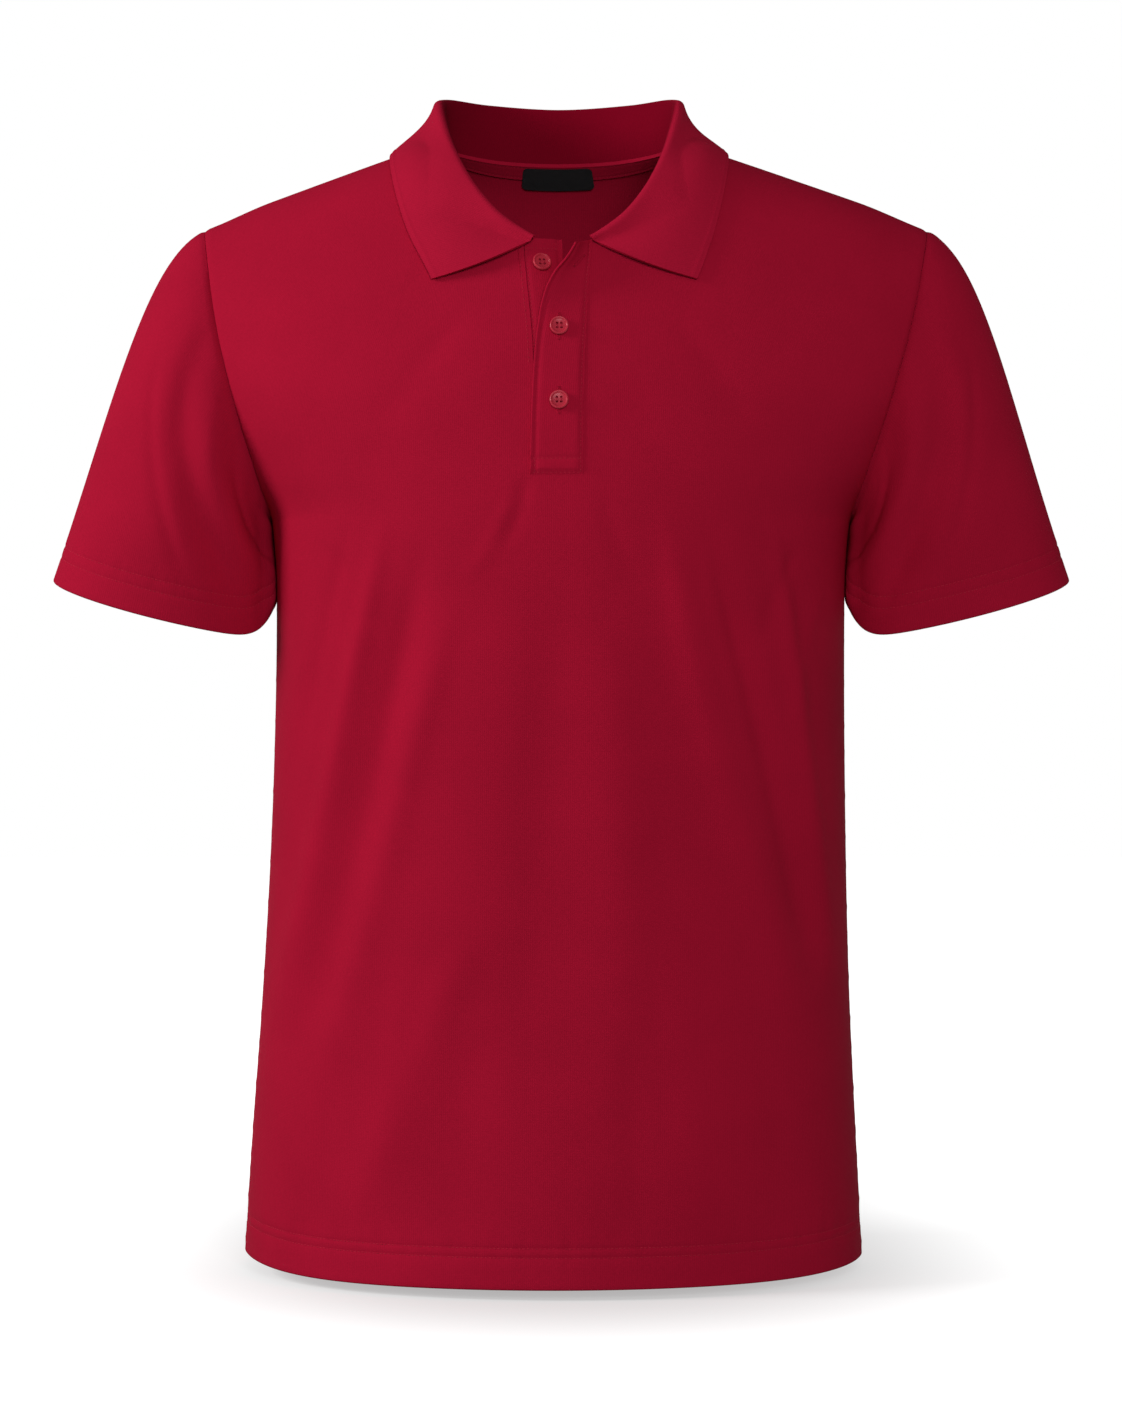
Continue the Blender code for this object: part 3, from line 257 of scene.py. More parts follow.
# The placket by height from the foot up: the upper band's free and sewn edges and how far it leans forward,
# the under band's free edge and how far it falls back, and the edge of the slot under it.
PLACKET_FOOT = -0.2247
PLACKET_SLOT_FOOT = -0.2150
SLOT_RIGHT = 0.0115
UPPER_BAND_TOP = -0.0750
UPPER_BAND_DROP = 0.0048
UPPER_BAND_DROP_SPAN = 0.045  # below its top, over which its free edge drops
BAND_LEAN_POWER = 1.5  # the higher, the closer to its free edge a band leans
UNDER_BAND_TOP = -0.0735
PLACKET = np.array(
    [
        # height  free     sewn    forward under   back    slot
        (-0.2247, -0.0171, 0.0160, 0.0000, 0.0100, 0.0000, -0.0145),
        (-0.1740, -0.0158, 0.0164, 0.0000, 0.0100, 0.0000, -0.0146),
        (-0.1525, -0.0146, 0.0170, 0.0004, 0.0100, 0.0000, -0.0150),
        (-0.1315, -0.0124, 0.0180, 0.0020, 0.0096, 0.0008, -0.0162),
        (-0.1170, -0.0098, 0.0188, 0.0050, 0.0085, 0.0026, -0.0176),
        (-0.1047, -0.0060, 0.0196, 0.0092, 0.0068, 0.0050, -0.0189),
        (-0.0947, -0.0010, 0.0204, 0.0132, 0.0052, 0.0072, -0.0198),
        (-0.0860, 0.0056, 0.0211, 0.0164, 0.0040, 0.0088, -0.0206),
        (-0.0735, 0.0128, 0.0219, 0.0188, 0.0034, 0.0100, -0.0212),
    ]
)
AT, FREE, SEWN, FORWARD, UNDER, FALLS_BACK, SLOT = range(7)

BUTTON_RADIUS = 0.0060
BUTTON_THICK = 0.0026
BUTTON_HOLE_RADIUS = 0.00082
BUTTON_HOLE_SPREAD = 0.0019
# Name, node, across, height, and the band that it is sewn through to.
BUTTONS = (
    ("top_button", "button_top", -0.0100, -0.0900, "under"),
    ("middle_button", "button_middle", 0.0011, -0.1322, "upper"),
    ("bottom_button", "button_bottom", 0.0011, -0.1790, "upper"),
)
TAPE_DEPTH = 0.0120
TAPE_RISE = 0.0024  # of its top edge, turned up along the collar's stand
TAPE_LIFT = 0.0024  # of the tape's near face off the outer face of the back
TAPE_CROWN = 0.0003
LABEL_HALF = 0.0245
LABEL_TOP = 0.0012
LABEL_DEPTH = 0.0195
LABEL_CORNER = 0.0036
LABEL_LIFT = 0.0036
LABEL_PRESSED = 0.0002

# ---------------- making of the cloth
HEM_DEPTH = 0.026
SLEEVE_HEM_DEPTH = 0.025
HEM_STITCH_ROWS = (0.0200, 0.0258)  # heights of the twin rows above the hem
CUFF_STITCH_ROWS = (0.0170, 0.0246)
FOLD_TURN = (150, 120, 90, 60, 30)  # degrees round a folded edge, from inside to outside
HEM_INSIDE_ROWS = 8
RAW_EDGE_OVER = 0.0006  # by which a hem's raw edge reaches past its depth
HEM_PLAIN_ROWS = (0.004, 0.008, 0.0125)  # heights of the rows of points below a hem's stitches
HEM_NEXT_ROW = 0.0042  # from a hem's depth up to the next row of points
STITCH_STEPS = (-0.0018, -0.0009, 0.0, 0.0009, 0.0018)  # rows of points about a row of stitches
STITCH_GROOVE = 0.0011
SEAM_STEPS = (0.0, 0.0014, 0.0028, 0.0046, 0.0070)  # rows or columns of points beside a seam
SEAM_COLUMNS = 8
SEAM_PUCKER = (0.006, 0.004)  # from a seam to where its puckers are highest, and how far they reach
HEM_PUCKER_SPAN, CUFF_PUCKER_SPAN = 0.010, 0.009
PUCKER_WAVES = (  # height, waves, share of the seed and start
    (0.45, 690, 1.0, 0.0),
    (0.35, 431, 2.1, 1.0),
    (0.30, 263, 0.7, 2.0),
)
UNDERARM_DIP_SHARE = 0.8  # of a seam's dip, along the seam under the arm
ALLOWANCE = (0.0058, 0.0014)  # depths of a seam allowance's points inside the seam
HALF_WIDTH = 0.25  # of a panel, roughly, by which distances beside a seam become shares
FINE_COLUMNS = 84
LOWER_ROWS = 138
SLOT_ROWS = 12
BACK_SLOT_SHARE = 0.2  # of a column up the back, which has its rows as close as those beside the slot
UPPER_ROWS = 56
SLOT_COLUMNS = 11
SLEEVE_ROWS = 58
DENSE_ROWS = 150  # of the smooth sleeve, from which its sheet's rows are read
COLLAR_AROUND = 96
COLLAR_STAND_ROWS = 14
COLLAR_ROLL_ROWS = 10
COLLAR_FALL_ROWS = 44
COLLAR_CROWDING = 1.6  # how much closer the rows of the fall stand towards its edge
COLLAR_LINE_WIDTH = 0.0008
BAND_ROWS = 110
BAND_COLUMNS = 14
BAND_NEAR = (0.0, 0.0008, 0.0017, 0.0026, 0.0036)  # from a band's sewn edge to its first columns of points
BAND_FAR = (0.0046, 0.0038, 0.0030, 0.0022, 0.0014)  # from its last columns of points to its free edge
BAND_UNDER = slice(None, 5, -3)  # of a band's columns from its free edge back, those of its under layer
BAND_PRESS = 0.0034  # from the upper band's sewn edges to where it stands at its full height
BAND_PRESSED = 0.0009
BOX_SINK = 0.0003  # by which the rows across a band's end and along its free edge sink deeper
TUCK_DEPTH = 0.00145
TUCK_REACH = (0.0045, 0.0)  # of the under band's sewn edge, turned in under the front
BAND_END_PINCH = 0.00025  # by which a band's two layers come together at its sewn ends
UPPER_BAND_LINES = (0.0030, -0.0016)  # from the free edge, and below zero from the sewn edge
UNDER_BAND_LINES = (-0.0011, 0.0030)
UPPER_BAND_BOX = (-0.2151, -0.2237)  # heights of the rows across the upper band's foot
UNDER_BAND_BOX = (-0.0766, -0.0798)  # and across the under band's top
UPPER_BAND_ACROSS, UNDER_BAND_ACROSS = (0.05, 0.97), (0.04, 0.88)  # shares, of the rows across a band
STITCHES_SHORT = 0.002  # by which a row up a band stops short of the band's end
SLOT_LINE_IN = 0.0030  # from the slot's edge to the row of stitches on the front
SLOT_LINE_FROM = 0.060  # above the slot's foot
PANEL_LINE_POINTS, SLOT_LINE_POINTS, BAND_LINE_POINTS, BAND_ACROSS_POINTS = 420, 90, 120, 30
PANEL_LINE_END = 0.4995  # of half a turn, just inside the side seams
TAPE_LINES = (0.0016, 0.0104)
TAPE_LINE_POINTS = 121
TAPE_LINE_END = 0.97  # of the neckline from the middle of the back
TAPE_END = 0.98
TAPE_ROWS, TAPE_COLUMNS = 25, 71
TAPE_CROWN_PRESSED = 0.5  # of its crown, under a row of stitches
TAPE_RISE_ROWS = 5
TAPE_RISE_WAY = (0.0, 0.16, 0.987)
LABEL_ROWS, LABEL_COLUMNS = 15, 41
LABEL_RIM_POWER = 10  # the higher, the narrower the label's pressed rim
INSIDE_ROWS, INSIDE_COLUMNS = 41, 61  # of the grid inside the back on which the label lies
INSIDE_END = 0.5  # of the neckline from the middle of the back
STITCH_ALONG = (0.0, 0.22, 0.78, 1.0)  # of a stitch's length, where its points lie
STITCH_RISE = (-1.0, 1.0, 1.0, -1.0)  # of those points out of the cloth, in the stitch's height
STITCH_SUNK = 0.0001
MERGE_WITHIN = 1e-6
KNIT_LENGTHS = "cloth"
# Painted shade inside the collar: a mask, kept on its points, of how far each faces into the neck.
PAINTED_SHADE_MASK = "inner side"
INNER_FROM, INNER_TO = 0.15, 0.75  # of a collar point's facing the neck, over which the painted shade inside the collar comes in
INNER_PAINTED_SHADE = (0.46, 0.22, 0.36, 1.0)  # by which the rib's colour is multiplied there, as painted shade: a deeper red for the shade inside the stand
BUTTON_SIDES = 64
BUTTON_LIFT = 0.0003
BUTTON_SHARP = 32  # degrees
DRILL_SIDES = 20
# Half section of a button by its radius and thickness: distance from the middle and height.
BUTTON_SECTION = (
    (0.000, 0.00), (0.800, 0.00), (0.930, 0.10), (0.985, 0.32), (1.000, 0.56), (0.985, 0.78), (0.940, 0.93),
    (0.885, 1.00), (0.830, 0.99), (0.785, 0.93), (0.745, 0.80), (0.710, 0.70), (0.660, 0.665), (0.000, 0.64),
)
BUTTONHOLE_LENGTH = 0.0160
TOP_BUTTONHOLE = (0.0136, -0.0886, 0.0090)  # across, height and length
TOP_BUTTONHOLE_TILT = 0.75  # radians from upright
SATIN_PITCH = 0.00042
SATIN_REACH = (0.00022, 0.00125)  # from the slit to the near and far ends of a satin stitch
SATIN_HEIGHT = 0.00012
SATIN_RISE = (-1.0, 1.0, -1.0)  # of a satin stitch's points, in that height
BAR_RISE = (-1.0, 1.6, 1.6, -1.0)  # of the points of the bars across a buttonhole's ends
BAR_STEPS = (-0.0006, -0.0002, 0.0002, 0.0006)
BUTTON_STRANDS = (-0.00018, 0.00018)  # sideways, of a bar's two strands
# A strand over a button: distance from its middle as a share of a hole's, and height.
STRAND_SECTION = ((1.0, -0.0002), (0.80, 0.00172), (0.0, 0.00184), (-0.80, 0.00172), (-1.0, -0.0002))

# Loops of the knit: width, height, how far each row leans across a loop, and relief.
BODY_LOOPS = (0.0013, 0.0010, 1.1, 0.00022)
COLLAR_LOOPS = (0.0014, 0.0010, 0.8, 0.00026)
LOOP_ROUND, LOOP_CROWN = 0.25, 0.75  # of the loops' height, along a wale and across it
SHADE_SOFT, SHADE_FIBRES, LOOP_PAINTED_SHADE = 0.44, 0.32, 0.24  # of the knit's shade: soft and fine unevenness of tone, and painted shade between its loops
LABEL_RIB = 0.0005

# ---------------- stage
WHITE = (1.0, 1.0, 1.0, 1.0)
SENSOR_WIDTH = 36.0
FLOOR_HALF = 6.0
FLOOR_HEIGHT = -0.7352
CAMERA_PLACE = (0.0023, -2.3, -0.365)
LIGHT_AIM = (0.0, 0.0, -0.36)
GLOW_ASIDE, GLOW_FORWARD, GLOW_BACK = 0.195, 0.20, 0.46  # the shirt's reach over the floor, within which its glow is lowered as a painted shadow
GLOW_FROM, GLOW_TO = 0.55, 1.95  # in that reach, from the painted shadow's lesser glow to the floor's full one
KEY_SIZE = 0.9
KEY_PLACE = (-2.5, -0.6, 0.7)
FILL_SIZE = 1.0
FILL_PLACE = (0.3, -2.9, 0.4)


# ---------------- curves
def through(knots, values, at, level_out=False):
    """Smooth curve through values given at rising knots. With level_out it never overshoots a value."""
    knots, values = np.asarray(knots, float), np.asarray(values, float)
    if values.ndim > 1:
        return np.stack([through(knots, column, at, level_out) for column in values.T], axis=-1)
    step = np.diff(knots)
    slope = np.diff(values) / step
    tangent = np.empty_like(values)
    tangent[0], tangent[-1] = slope[0], slope[-1]
    tangent[1:-1] = (slope[:-1] * step[1:] + slope[1:] * step[:-1]) / (step[:-1] + step[1:])
    if level_out:
        limit = 3 * np.minimum(np.abs(slope[:-1]), np.abs(slope[1:]))
        same_way = slope[:-1] * slope[1:] > 0
        tangent[1:-1] = np.where(same_way, np.clip(tangent[1:-1], -limit, limit), 0.0)
    at = np.clip(at, knots[0], knots[-1])
    i = np.clip(np.searchsorted(knots, at) - 1, 0, len(knots) - 2)
    t = (at - knots[i]) / step[i]
    return (
        values[i] * (1 + 2 * t) * (1 - t) ** 2
        + tangent[i] * step[i] * t * (1 - t) ** 2
        + values[i + 1] * t**2 * (3 - 2 * t)
        + tangent[i + 1] * step[i] * t**2 * (t - 1)
    )


def lengths_along(points):
    return np.concatenate([[0.0], np.cumsum(np.linalg.norm(np.diff(points, axis=0), axis=1))])


def column_lengths(grid):
    return np.array([lengths_along(grid[:, column])[-1] for column in range(grid.shape[1])])


def at_distances(points, distances, values=None):
    """The points at these distances along a line, or the values that go with them."""
    along = lengths_along(points)
    carried = points if values is None else values
    return np.stack([np.interp(distances, along, column) for column in carried.T], axis=-1)


def spread_along(points, shares):
    return at_distances(points, shares * lengths_along(points)[-1])


def ease(share):
    share = np.clip(share, 0.0, 1.0)
    return share * share * (3 - 2 * share)


def unit(vectors):
    return vectors / np.maximum(np.linalg.norm(vectors, axis=-1, keepdims=True), 1e-12)


def hump(distance, width):
    return np.exp(-((distance / width) ** 2))


def waver(place, seed=0.0):
    """Uneven waves about 1 high along a seam, for the way that cloth puckers between stitches."""
    return sum(
        high * np.sin(place * waves + share * seed + start) for high, waves, share, start in PUCKER_WAVES
    )


def curve(t, start, near, far, end):
    """Points at t on a curve that leaves its start towards near and comes to its end from far."""
    return (1 - t) ** 3 * start + 3 * t * (1 - t) ** 2 * near + 3 * t**2 * (1 - t) * far + t**3 * end


# ---------------- the body's form
def body_at(height, column):
    return through(BODY[:, HEIGHT], BODY[:, column], height, level_out=True)


def ridge(across):
    soft = math.hypot(NECK_HALF, RIDGE_SOFTNESS)
    tip = ease((np.abs(across) - SHOULDER_HALF + SHOULDER_TIP_SPAN) / SHOULDER_TIP_SPAN)
    return SHOULDER_SLOPE * (soft - np.hypot(across, RIDGE_SOFTNESS)) - SHOULDER_TIP_DROP * tip


def depth_column(side):
    return FRONT if side == "front" else BACK


def way(side):
    return -1.0 if side == "front" else 1.0


def angle_at(x, height):
    """Angle round the body, 0 at the middle and 90 degrees at the side, of a place seen from the front."""
    across = x - body_at(height, MIDDLE)
    share = np.clip(np.abs(across) / body_at(height, HALF), 0.0, 1.0)
    return np.sign(across) * np.arcsin(share ** (body_at(height, SQUARE) / 2))


def fold_height(folds, across, height):
    total = np.zeros(np.broadcast(across, height).shape)
    for x0, z0, x1, z1, bow, half, rise in folds:
        share = (height - z0) / (z1 - z0)
        middle = x0 + (x1 - x0) * share + bow * 4 * share * (1 - share)
        ends = ease(share / FOLD_FADE) * ease((1 - share) / FOLD_FADE)
        spread = half * (FOLD_SPREAD[0] + FOLD_SPREAD[1] * np.clip(share, 0, 1))
        total = total + rise * ends * hump(across - middle, spread)
    return total


def body_point(side, angle, height, creased=False):
    """Outer face of the cloth at an angle round the body and a height."""
    power = 2 / body_at(height, SQUARE)
    across = np.sign(angle) * body_at(height, HALF) * np.abs(np.sin(angle)) ** power
    below = np.maximum(ridge(across) - height, 0.0)
    rounding = np.sqrt(1 - np.exp(-2 * below / SHOULDER_ROUND))
    facing = np.maximum(np.cos(angle), 0.0)
    depth = body_at(height, depth_column(side)) * facing**power * rounding
    folds = FOLDS[side] + (CREASES[side] if creased else ())
    proud = fold_height(folds, across, height) * facing**0.5 * ease(below / FOLD_SPAN)
    return np.stack(
        [
            across + body_at(height, MIDDLE) + proud * np.sin(angle),
            way(side) * (depth + proud * np.cos(angle)),
            height + np.zeros_like(across),
        ],
        axis=-1,
    )


def form_value(points, side=None):
    """Below zero inside the body's form and above zero outside it. The side is by y's sign if not given."""
    x, y, z = points[..., 0], points[..., 1], points[..., 2]
    across = x - body_at(z, MIDDLE)
    if side is None:
        depth = np.where(y < 0, body_at(z, FRONT), body_at(z, BACK))
    else:
        depth = body_at(z, depth_column(side))
    square = body_at(z, SQUARE)
    left = 1 - (np.abs(across) / body_at(z, HALF)) ** square
    sideways = np.sign(left) * np.abs(left) ** (2 / square)
    upwards = 1 - np.exp(-2 * (ridge(across) - z) / SHOULDER_ROUND)
    return (y / depth) ** 2 - sideways * upwards


def form_gradient(points, side=None):
    nudge = 1e-5
    return np.stack(
        [
            (form_value(points + move, side) - form_value(points - move, side)) / (2 * nudge)
            for move in np.eye(3) * nudge
        ],
        axis=-1,
    )


def outward(points, side=None):
    return unit(form_gradient(points, side))


def off_body(points, distance, tries=12):
    """The points moved straight in or out until they are this far off the body's form."""
    for _ in range(tries):
        gradient = form_gradient(points)
        size = np.linalg.norm(gradient, axis=-1)
        short = distance - form_value(points) / size
        points = points + (gradient / size[..., None]) * short[..., None]
    return points


def drawn_to_body(points, share):
    """The points beside the body drawn up to it by this share, the nearer the more, and none too near."""
    gradient = form_gradient(points)
    size = np.linalg.norm(gradient, axis=-1)
    apart = form_value(points) / size
    span = SLEEVE_NEAR - SLEEVE_CLEAR
    drawn = SLEEVE_CLEAR + span * np.clip((apart - SLEEVE_CLEAR) / span, 0.0, 1.0) ** 3
    move = np.where(apart < SLEEVE_CLEAR, SLEEVE_CLEAR - apart, np.minimum(drawn - apart, 0.0) * share)
    move = np.where(apart < SLEEVE_NEAR, move, 0.0)
    return points + gradient / size[..., None] * move[..., None]


def clear_of_body(points, distance):
    """The points, those nearer to the body's form than this distance moved out to it."""
    gradient = form_gradient(points)
    size = np.linalg.norm(gradient, axis=-1)
    short = np.maximum(distance - form_value(points) / size, 0.0)
    return points + gradient / size[..., None] * short[..., None]


def grid_normals(grid, closed=False):
    """Unit normals of a grid of points, by its rows and columns."""
    if closed:
        beside = np.roll(grid, -1, axis=1) - np.roll(grid, 1, axis=1)
    else:
        beside = np.gradient(grid, axis=1)
    return unit(np.cross(beside, np.gradient(grid, axis=0)))


# ---------------- the panels' lines
def armhole_line(side, shares):
    """(angle, height) along the armhole from the underarm to the shoulder tip."""
    tip_height = float(ridge(SHOULDER_HALF))
    tip_angle = math.degrees(angle_at(SHOULDER_HALF + body_at(tip_height, MIDDLE), tip_height))
    rows = np.array(ARMHOLE[side] + ((tip_height, tip_angle),))
    line = np.stack([np.radians(rows[:, 1]), rows[:, 0]], axis=-1)
    knots = lengths_along(body_point(side, line[:, 0], line[:, 1]))
    return through(knots / knots[-1], line, shares)


def neck_line(side, sign, shares):
    """(across, height) along the neckline from the high shoulder point towards the middle."""
    rows = np.array(NECKLINE[side])
    knots = lengths_along(rows)
    line = through(knots / knots[-1], rows, shares)
    pulled = NECK_PULL * (line[:, 1] / NECKLINE["front"][-2][1]) ** 2 if side == "front" else 0.0
    return np.stack([sign * line[:, 0] + pulled, line[:, 1]], axis=-1)


def neck_share(side, sign, across, points=400):
    shares = np.linspace(0, 1, points)
    return float(np.interp(-across, -np.abs(neck_line(side, sign, shares)[:, 0]), shares))


def panel_end(side, sign):
    return neck_share(side, sign, NECK_ENDS[sign]) if side == "front" else 1.0


def placket_at(height, column):
    return through(PLACKET[:, AT], PLACKET[:, column], height, level_out=True)


def inner_line(side, sign, heights):
    """Across at the edge of the placket's slot, or at the middle of the back."""
    if side == "back":
        return np.zeros_like(heights)
    if sign < 0:
        return placket_at(heights, SLOT)
    top, top_height = neck_line(side, sign, np.array([panel_end(side, sign)]))[0]
    knots = (HEM_HEIGHT, PLACKET_SLOT_FOOT, top_height)
    return through(knots, (SLOT_RIGHT, SLOT_RIGHT, top), heights, level_out=True)


def top_line(side, sign, shares):
    """(angle, height) along the shoulder seam from its tip and on along the neckline."""
    shoulder = shares <= SHOULDER_SHARE
    across = SHOULDER_HALF + (NECK_HALF - SHOULDER_HALF) * np.clip(shares / SHOULDER_SHARE, 0, 1)
    past = np.clip((shares - SHOULDER_SHARE) / (1 - SHOULDER_SHARE), 0, 1)
    on_neck = neck_line(side, sign, past * panel_end(side, sign))
    height = np.where(shoulder, ridge(across), on_neck[:, 1])
    x = np.where(shoulder, sign * across + body_at(height, MIDDLE), on_neck[:, 0])
    return np.stack([angle_at(x, height), height], axis=-1)


def upper_column(side, sign, share, rows=220):
    """Points up one column of a half panel, from the underarm's height to the shoulder seam or neckline."""
    v = np.linspace(0, 1, rows)[:, None]
    top_height = neck_line(side, sign, np.array([panel_end(side, sign)]))[0, 1]
    low_end = angle_at(inner_line(side, sign, np.array([UNDERARM_HEIGHT])), UNDERARM_HEIGHT)[0]
    low = np.array([sign * math.pi / 2 + (low_end - sign * math.pi / 2) * share, UNDERARM_HEIGHT])
    high = top_line(side, sign, np.array([share]))[0]
    outside = armhole_line(side, v[:, 0]) * np.array([sign, 1.0])
    heights = UNDERARM_HEIGHT + (top_height - UNDERARM_HEIGHT) * v[:, 0]
    inside = np.stack([angle_at(inner_line(side, sign, heights), heights), heights], axis=-1)
    place = (
        (1 - v) * low + v * high + (1 - share) * outside + share * inside
        - ((1 - v) * ((1 - share) * outside[0] + share * inside[0])
           + v * ((1 - share) * outside[-1] + share * inside[-1]))
    )
    return body_point(side, place[:, 0], place[:, 1], creased=True)


# ---------------- the panels as fine sheets
def turned_hem(depth, stitch_rows, wall):
    """A turned-up hem as rows from its raw edge inside, down, round its fold and up the outside.

    Returns each row's height above the fold, how far it lies inside the outer face, and the first outer row.
    """
    radius = wall / 2
    inside = np.linspace(depth + RAW_EDGE_OVER, radius, HEM_INSIDE_ROWS)
    turn = np.radians(FOLD_TURN)
    near = [row + step for row in stitch_rows for step in STITCH_STEPS]
    outside = np.sort(np.concatenate([(radius, *HEM_PLAIN_ROWS), near, (depth + HEM_NEXT_ROW,)]))
    heights = np.concatenate([inside, radius - radius * np.sin(turn), outside])
    turned = radius - radius * np.cos(turn)
    insets = np.concatenate([np.full(len(inside), wall), turned, np.zeros(len(outside))])
    return heights, insets, len(inside) + len(turn)


def column_shares():
    near = np.array(SEAM_STEPS) / HALF_WIDTH
    return np.concatenate([near, np.linspace(near[-1], 1, FINE_COLUMNS)[1:]])


def column_distances(column, slot_share):
    """Distances up an upper column, closer at the underarm and at the top edge."""
    length = lengths_along(column)[-1]
    slot = slot_share * length
    low = np.concatenate([SEAM_STEPS[:3], np.linspace(SEAM_STEPS[3], slot, SLOT_ROWS)])
    high = length - np.array(SEAM_STEPS[3::-1])
    return np.concatenate([low, np.linspace(slot, high[0], UPPER_ROWS)[1:-1], high])


def slot_share_of(side, column):
    """Share of a column up from the underarm's height at which the rows beside the slot's foot end."""
    if side == "back":
        return BACK_SLOT_SHARE
    along = lengths_along(column)
    return float(np.interp(PLACKET_SLOT_FOOT, column[:, 2], along / along[-1]))


def lower_heights():
    above, insets, outside = turned_hem(HEM_DEPTH, HEM_STITCH_ROWS, HEM_WALL)
    up = np.linspace(HEM_HEIGHT + above[-1], UNDERARM_HEIGHT, LOWER_ROWS)[1:]
    return np.concatenate([HEM_HEIGHT + above, up]), np.concatenate([insets, np.zeros(len(up))]), outside


def hem_lift(angles, height):
    """How far the hem and the rows above it are lifted towards the side seams."""
    side_lift = np.where(angles < 0, HEM_SIDE_LIFT[-1], HEM_SIDE_LIFT[1])
    return side_lift * np.sin(angles) ** HEM_LIFT_POWER * ease((HEM_LIFT_TOP - height) / HEM_LIFT_SPAN)


def lower_part(side, angles, cloth):
    """The rows of a panel below the underarm at these angles round the body, with the hem turned up."""
    heights, insets, outside = lower_heights()
    on_outside = np.arange(len(heights)) >= outside
    for row in HEM_STITCH_ROWS:
        insets = insets + cloth.stitch_dip * hump(heights - HEM_HEIGHT - row, STITCH_GROOVE) * on_outside
    lifted = heights[:, None] + hem_lift(angles, heights[:, None])
    points = body_point(side, angles, lifted, creased=True)
    above_hem = heights - HEM_HEIGHT - HEM_DEPTH
    pucker = waver(points[..., 0], 1.0 + way(side)) * hump(above_hem, HEM_PUCKER_SPAN)[:, None]
    return points - outward(points, side) * (insets[:, None] - cloth.pucker * pucker)[..., None]


def half_panel(side, sign, cloth):
    """One half of a panel from its hem's raw edge inside up to the top, columns from the side inwards.

    Returns its points and the numbers of the underarm's row and of the row at the slot's foot.
    """
    shares = column_shares()
    heights = lower_heights()[0]
    ends = angle_at(inner_line(side, sign, heights), heights)
    angles = sign * math.pi / 2 + (ends - sign * math.pi / 2)[:, None] * shares[None, :]
    columns = [upper_column(side, sign, share) for share in shares]
    slot = slot_share_of(side, columns[-1])
    upper = np.stack([at_distances(column, column_distances(column, slot)) for column in columns], axis=1)
    whole = np.concatenate([lower_part(side, angles, cloth), upper[1:]])
    return whole, len(heights) - 1, len(heights) + SLOT_ROWS + 1


def armhole_edge(side, sign):
    """A panel's edge along the armhole from the underarm to the shoulder tip."""
    column = upper_column(side, sign, 0.0)
    return at_distances(column, column_distances(column, slot_share_of(side, upper_column(side, sign, 1.0))))


def seamed(grid, side, cloth):
    """A half panel drawn in at its seams, with a seam allowance turned in along its side."""
    heights, _, outside = lower_heights()
    hem_rows = len(turned_hem(HEM_DEPTH, HEM_STITCH_ROWS, HEM_WALL)[0])
    normals = outward(grid, side)
    beside = np.linalg.norm(grid[:, :SEAM_COLUMNS] - grid[:, :1], axis=-1)
    above = np.linalg.norm(grid[-SEAM_COLUMNS:] - grid[-1], axis=-1)
    move = np.zeros(grid.shape[:2])
    move[outside:, :SEAM_COLUMNS] -= cloth.seam_dip * hump(beside, cloth.seam_width)[outside:]
    move[-SEAM_COLUMNS:] = np.minimum(move[-SEAM_COLUMNS:], -cloth.seam_dip * hump(above, cloth.seam_width))
    along = lengths_along(grid[:, 0])[:, None]
    near = hump(beside - SEAM_PUCKER[0], SEAM_PUCKER[1])
    move[outside:, :SEAM_COLUMNS] += (cloth.pucker * waver(along, 3.0 + way(side)) * near)[outside:]
    grid = grid.copy()
    sewn_side = slice(0, len(heights))
    half_gap = np.where(np.arange(len(heights)) < hem_rows, HEM_HALF_GAP, SEAM_HALF_GAP)[:, None]
    grid[sewn_side, 0] += half_gap * unit(grid[sewn_side, 1] - grid[sewn_side, 0])
    grid[-1] += SEAM_HALF_GAP * unit(grid[-2] - grid[-1])
    grid += normals * move[..., None]
    turned = grid[:, :1] - normals[:, :1] * np.array(ALLOWANCE)[None, :, None]
    turned[:hem_rows] = grid[:hem_rows, :1]
    return np.concatenate([turned, grid], axis=1)


def cloth_lengths(grid, first_row=0):
    """Lengths across from the first column and up from a row, which the knit follows."""
    across = np.linalg.norm(np.diff(grid, axis=1), axis=-1)
    across = np.concatenate([np.zeros((len(grid), 1)), np.cumsum(across, axis=1)], axis=1)
    up = np.linalg.norm(np.diff(grid, axis=0), axis=-1)
    up = np.concatenate([np.zeros((1, grid.shape[1])), np.cumsum(up, axis=0)])
    return np.stack([across, up - up[first_row]], axis=-1)


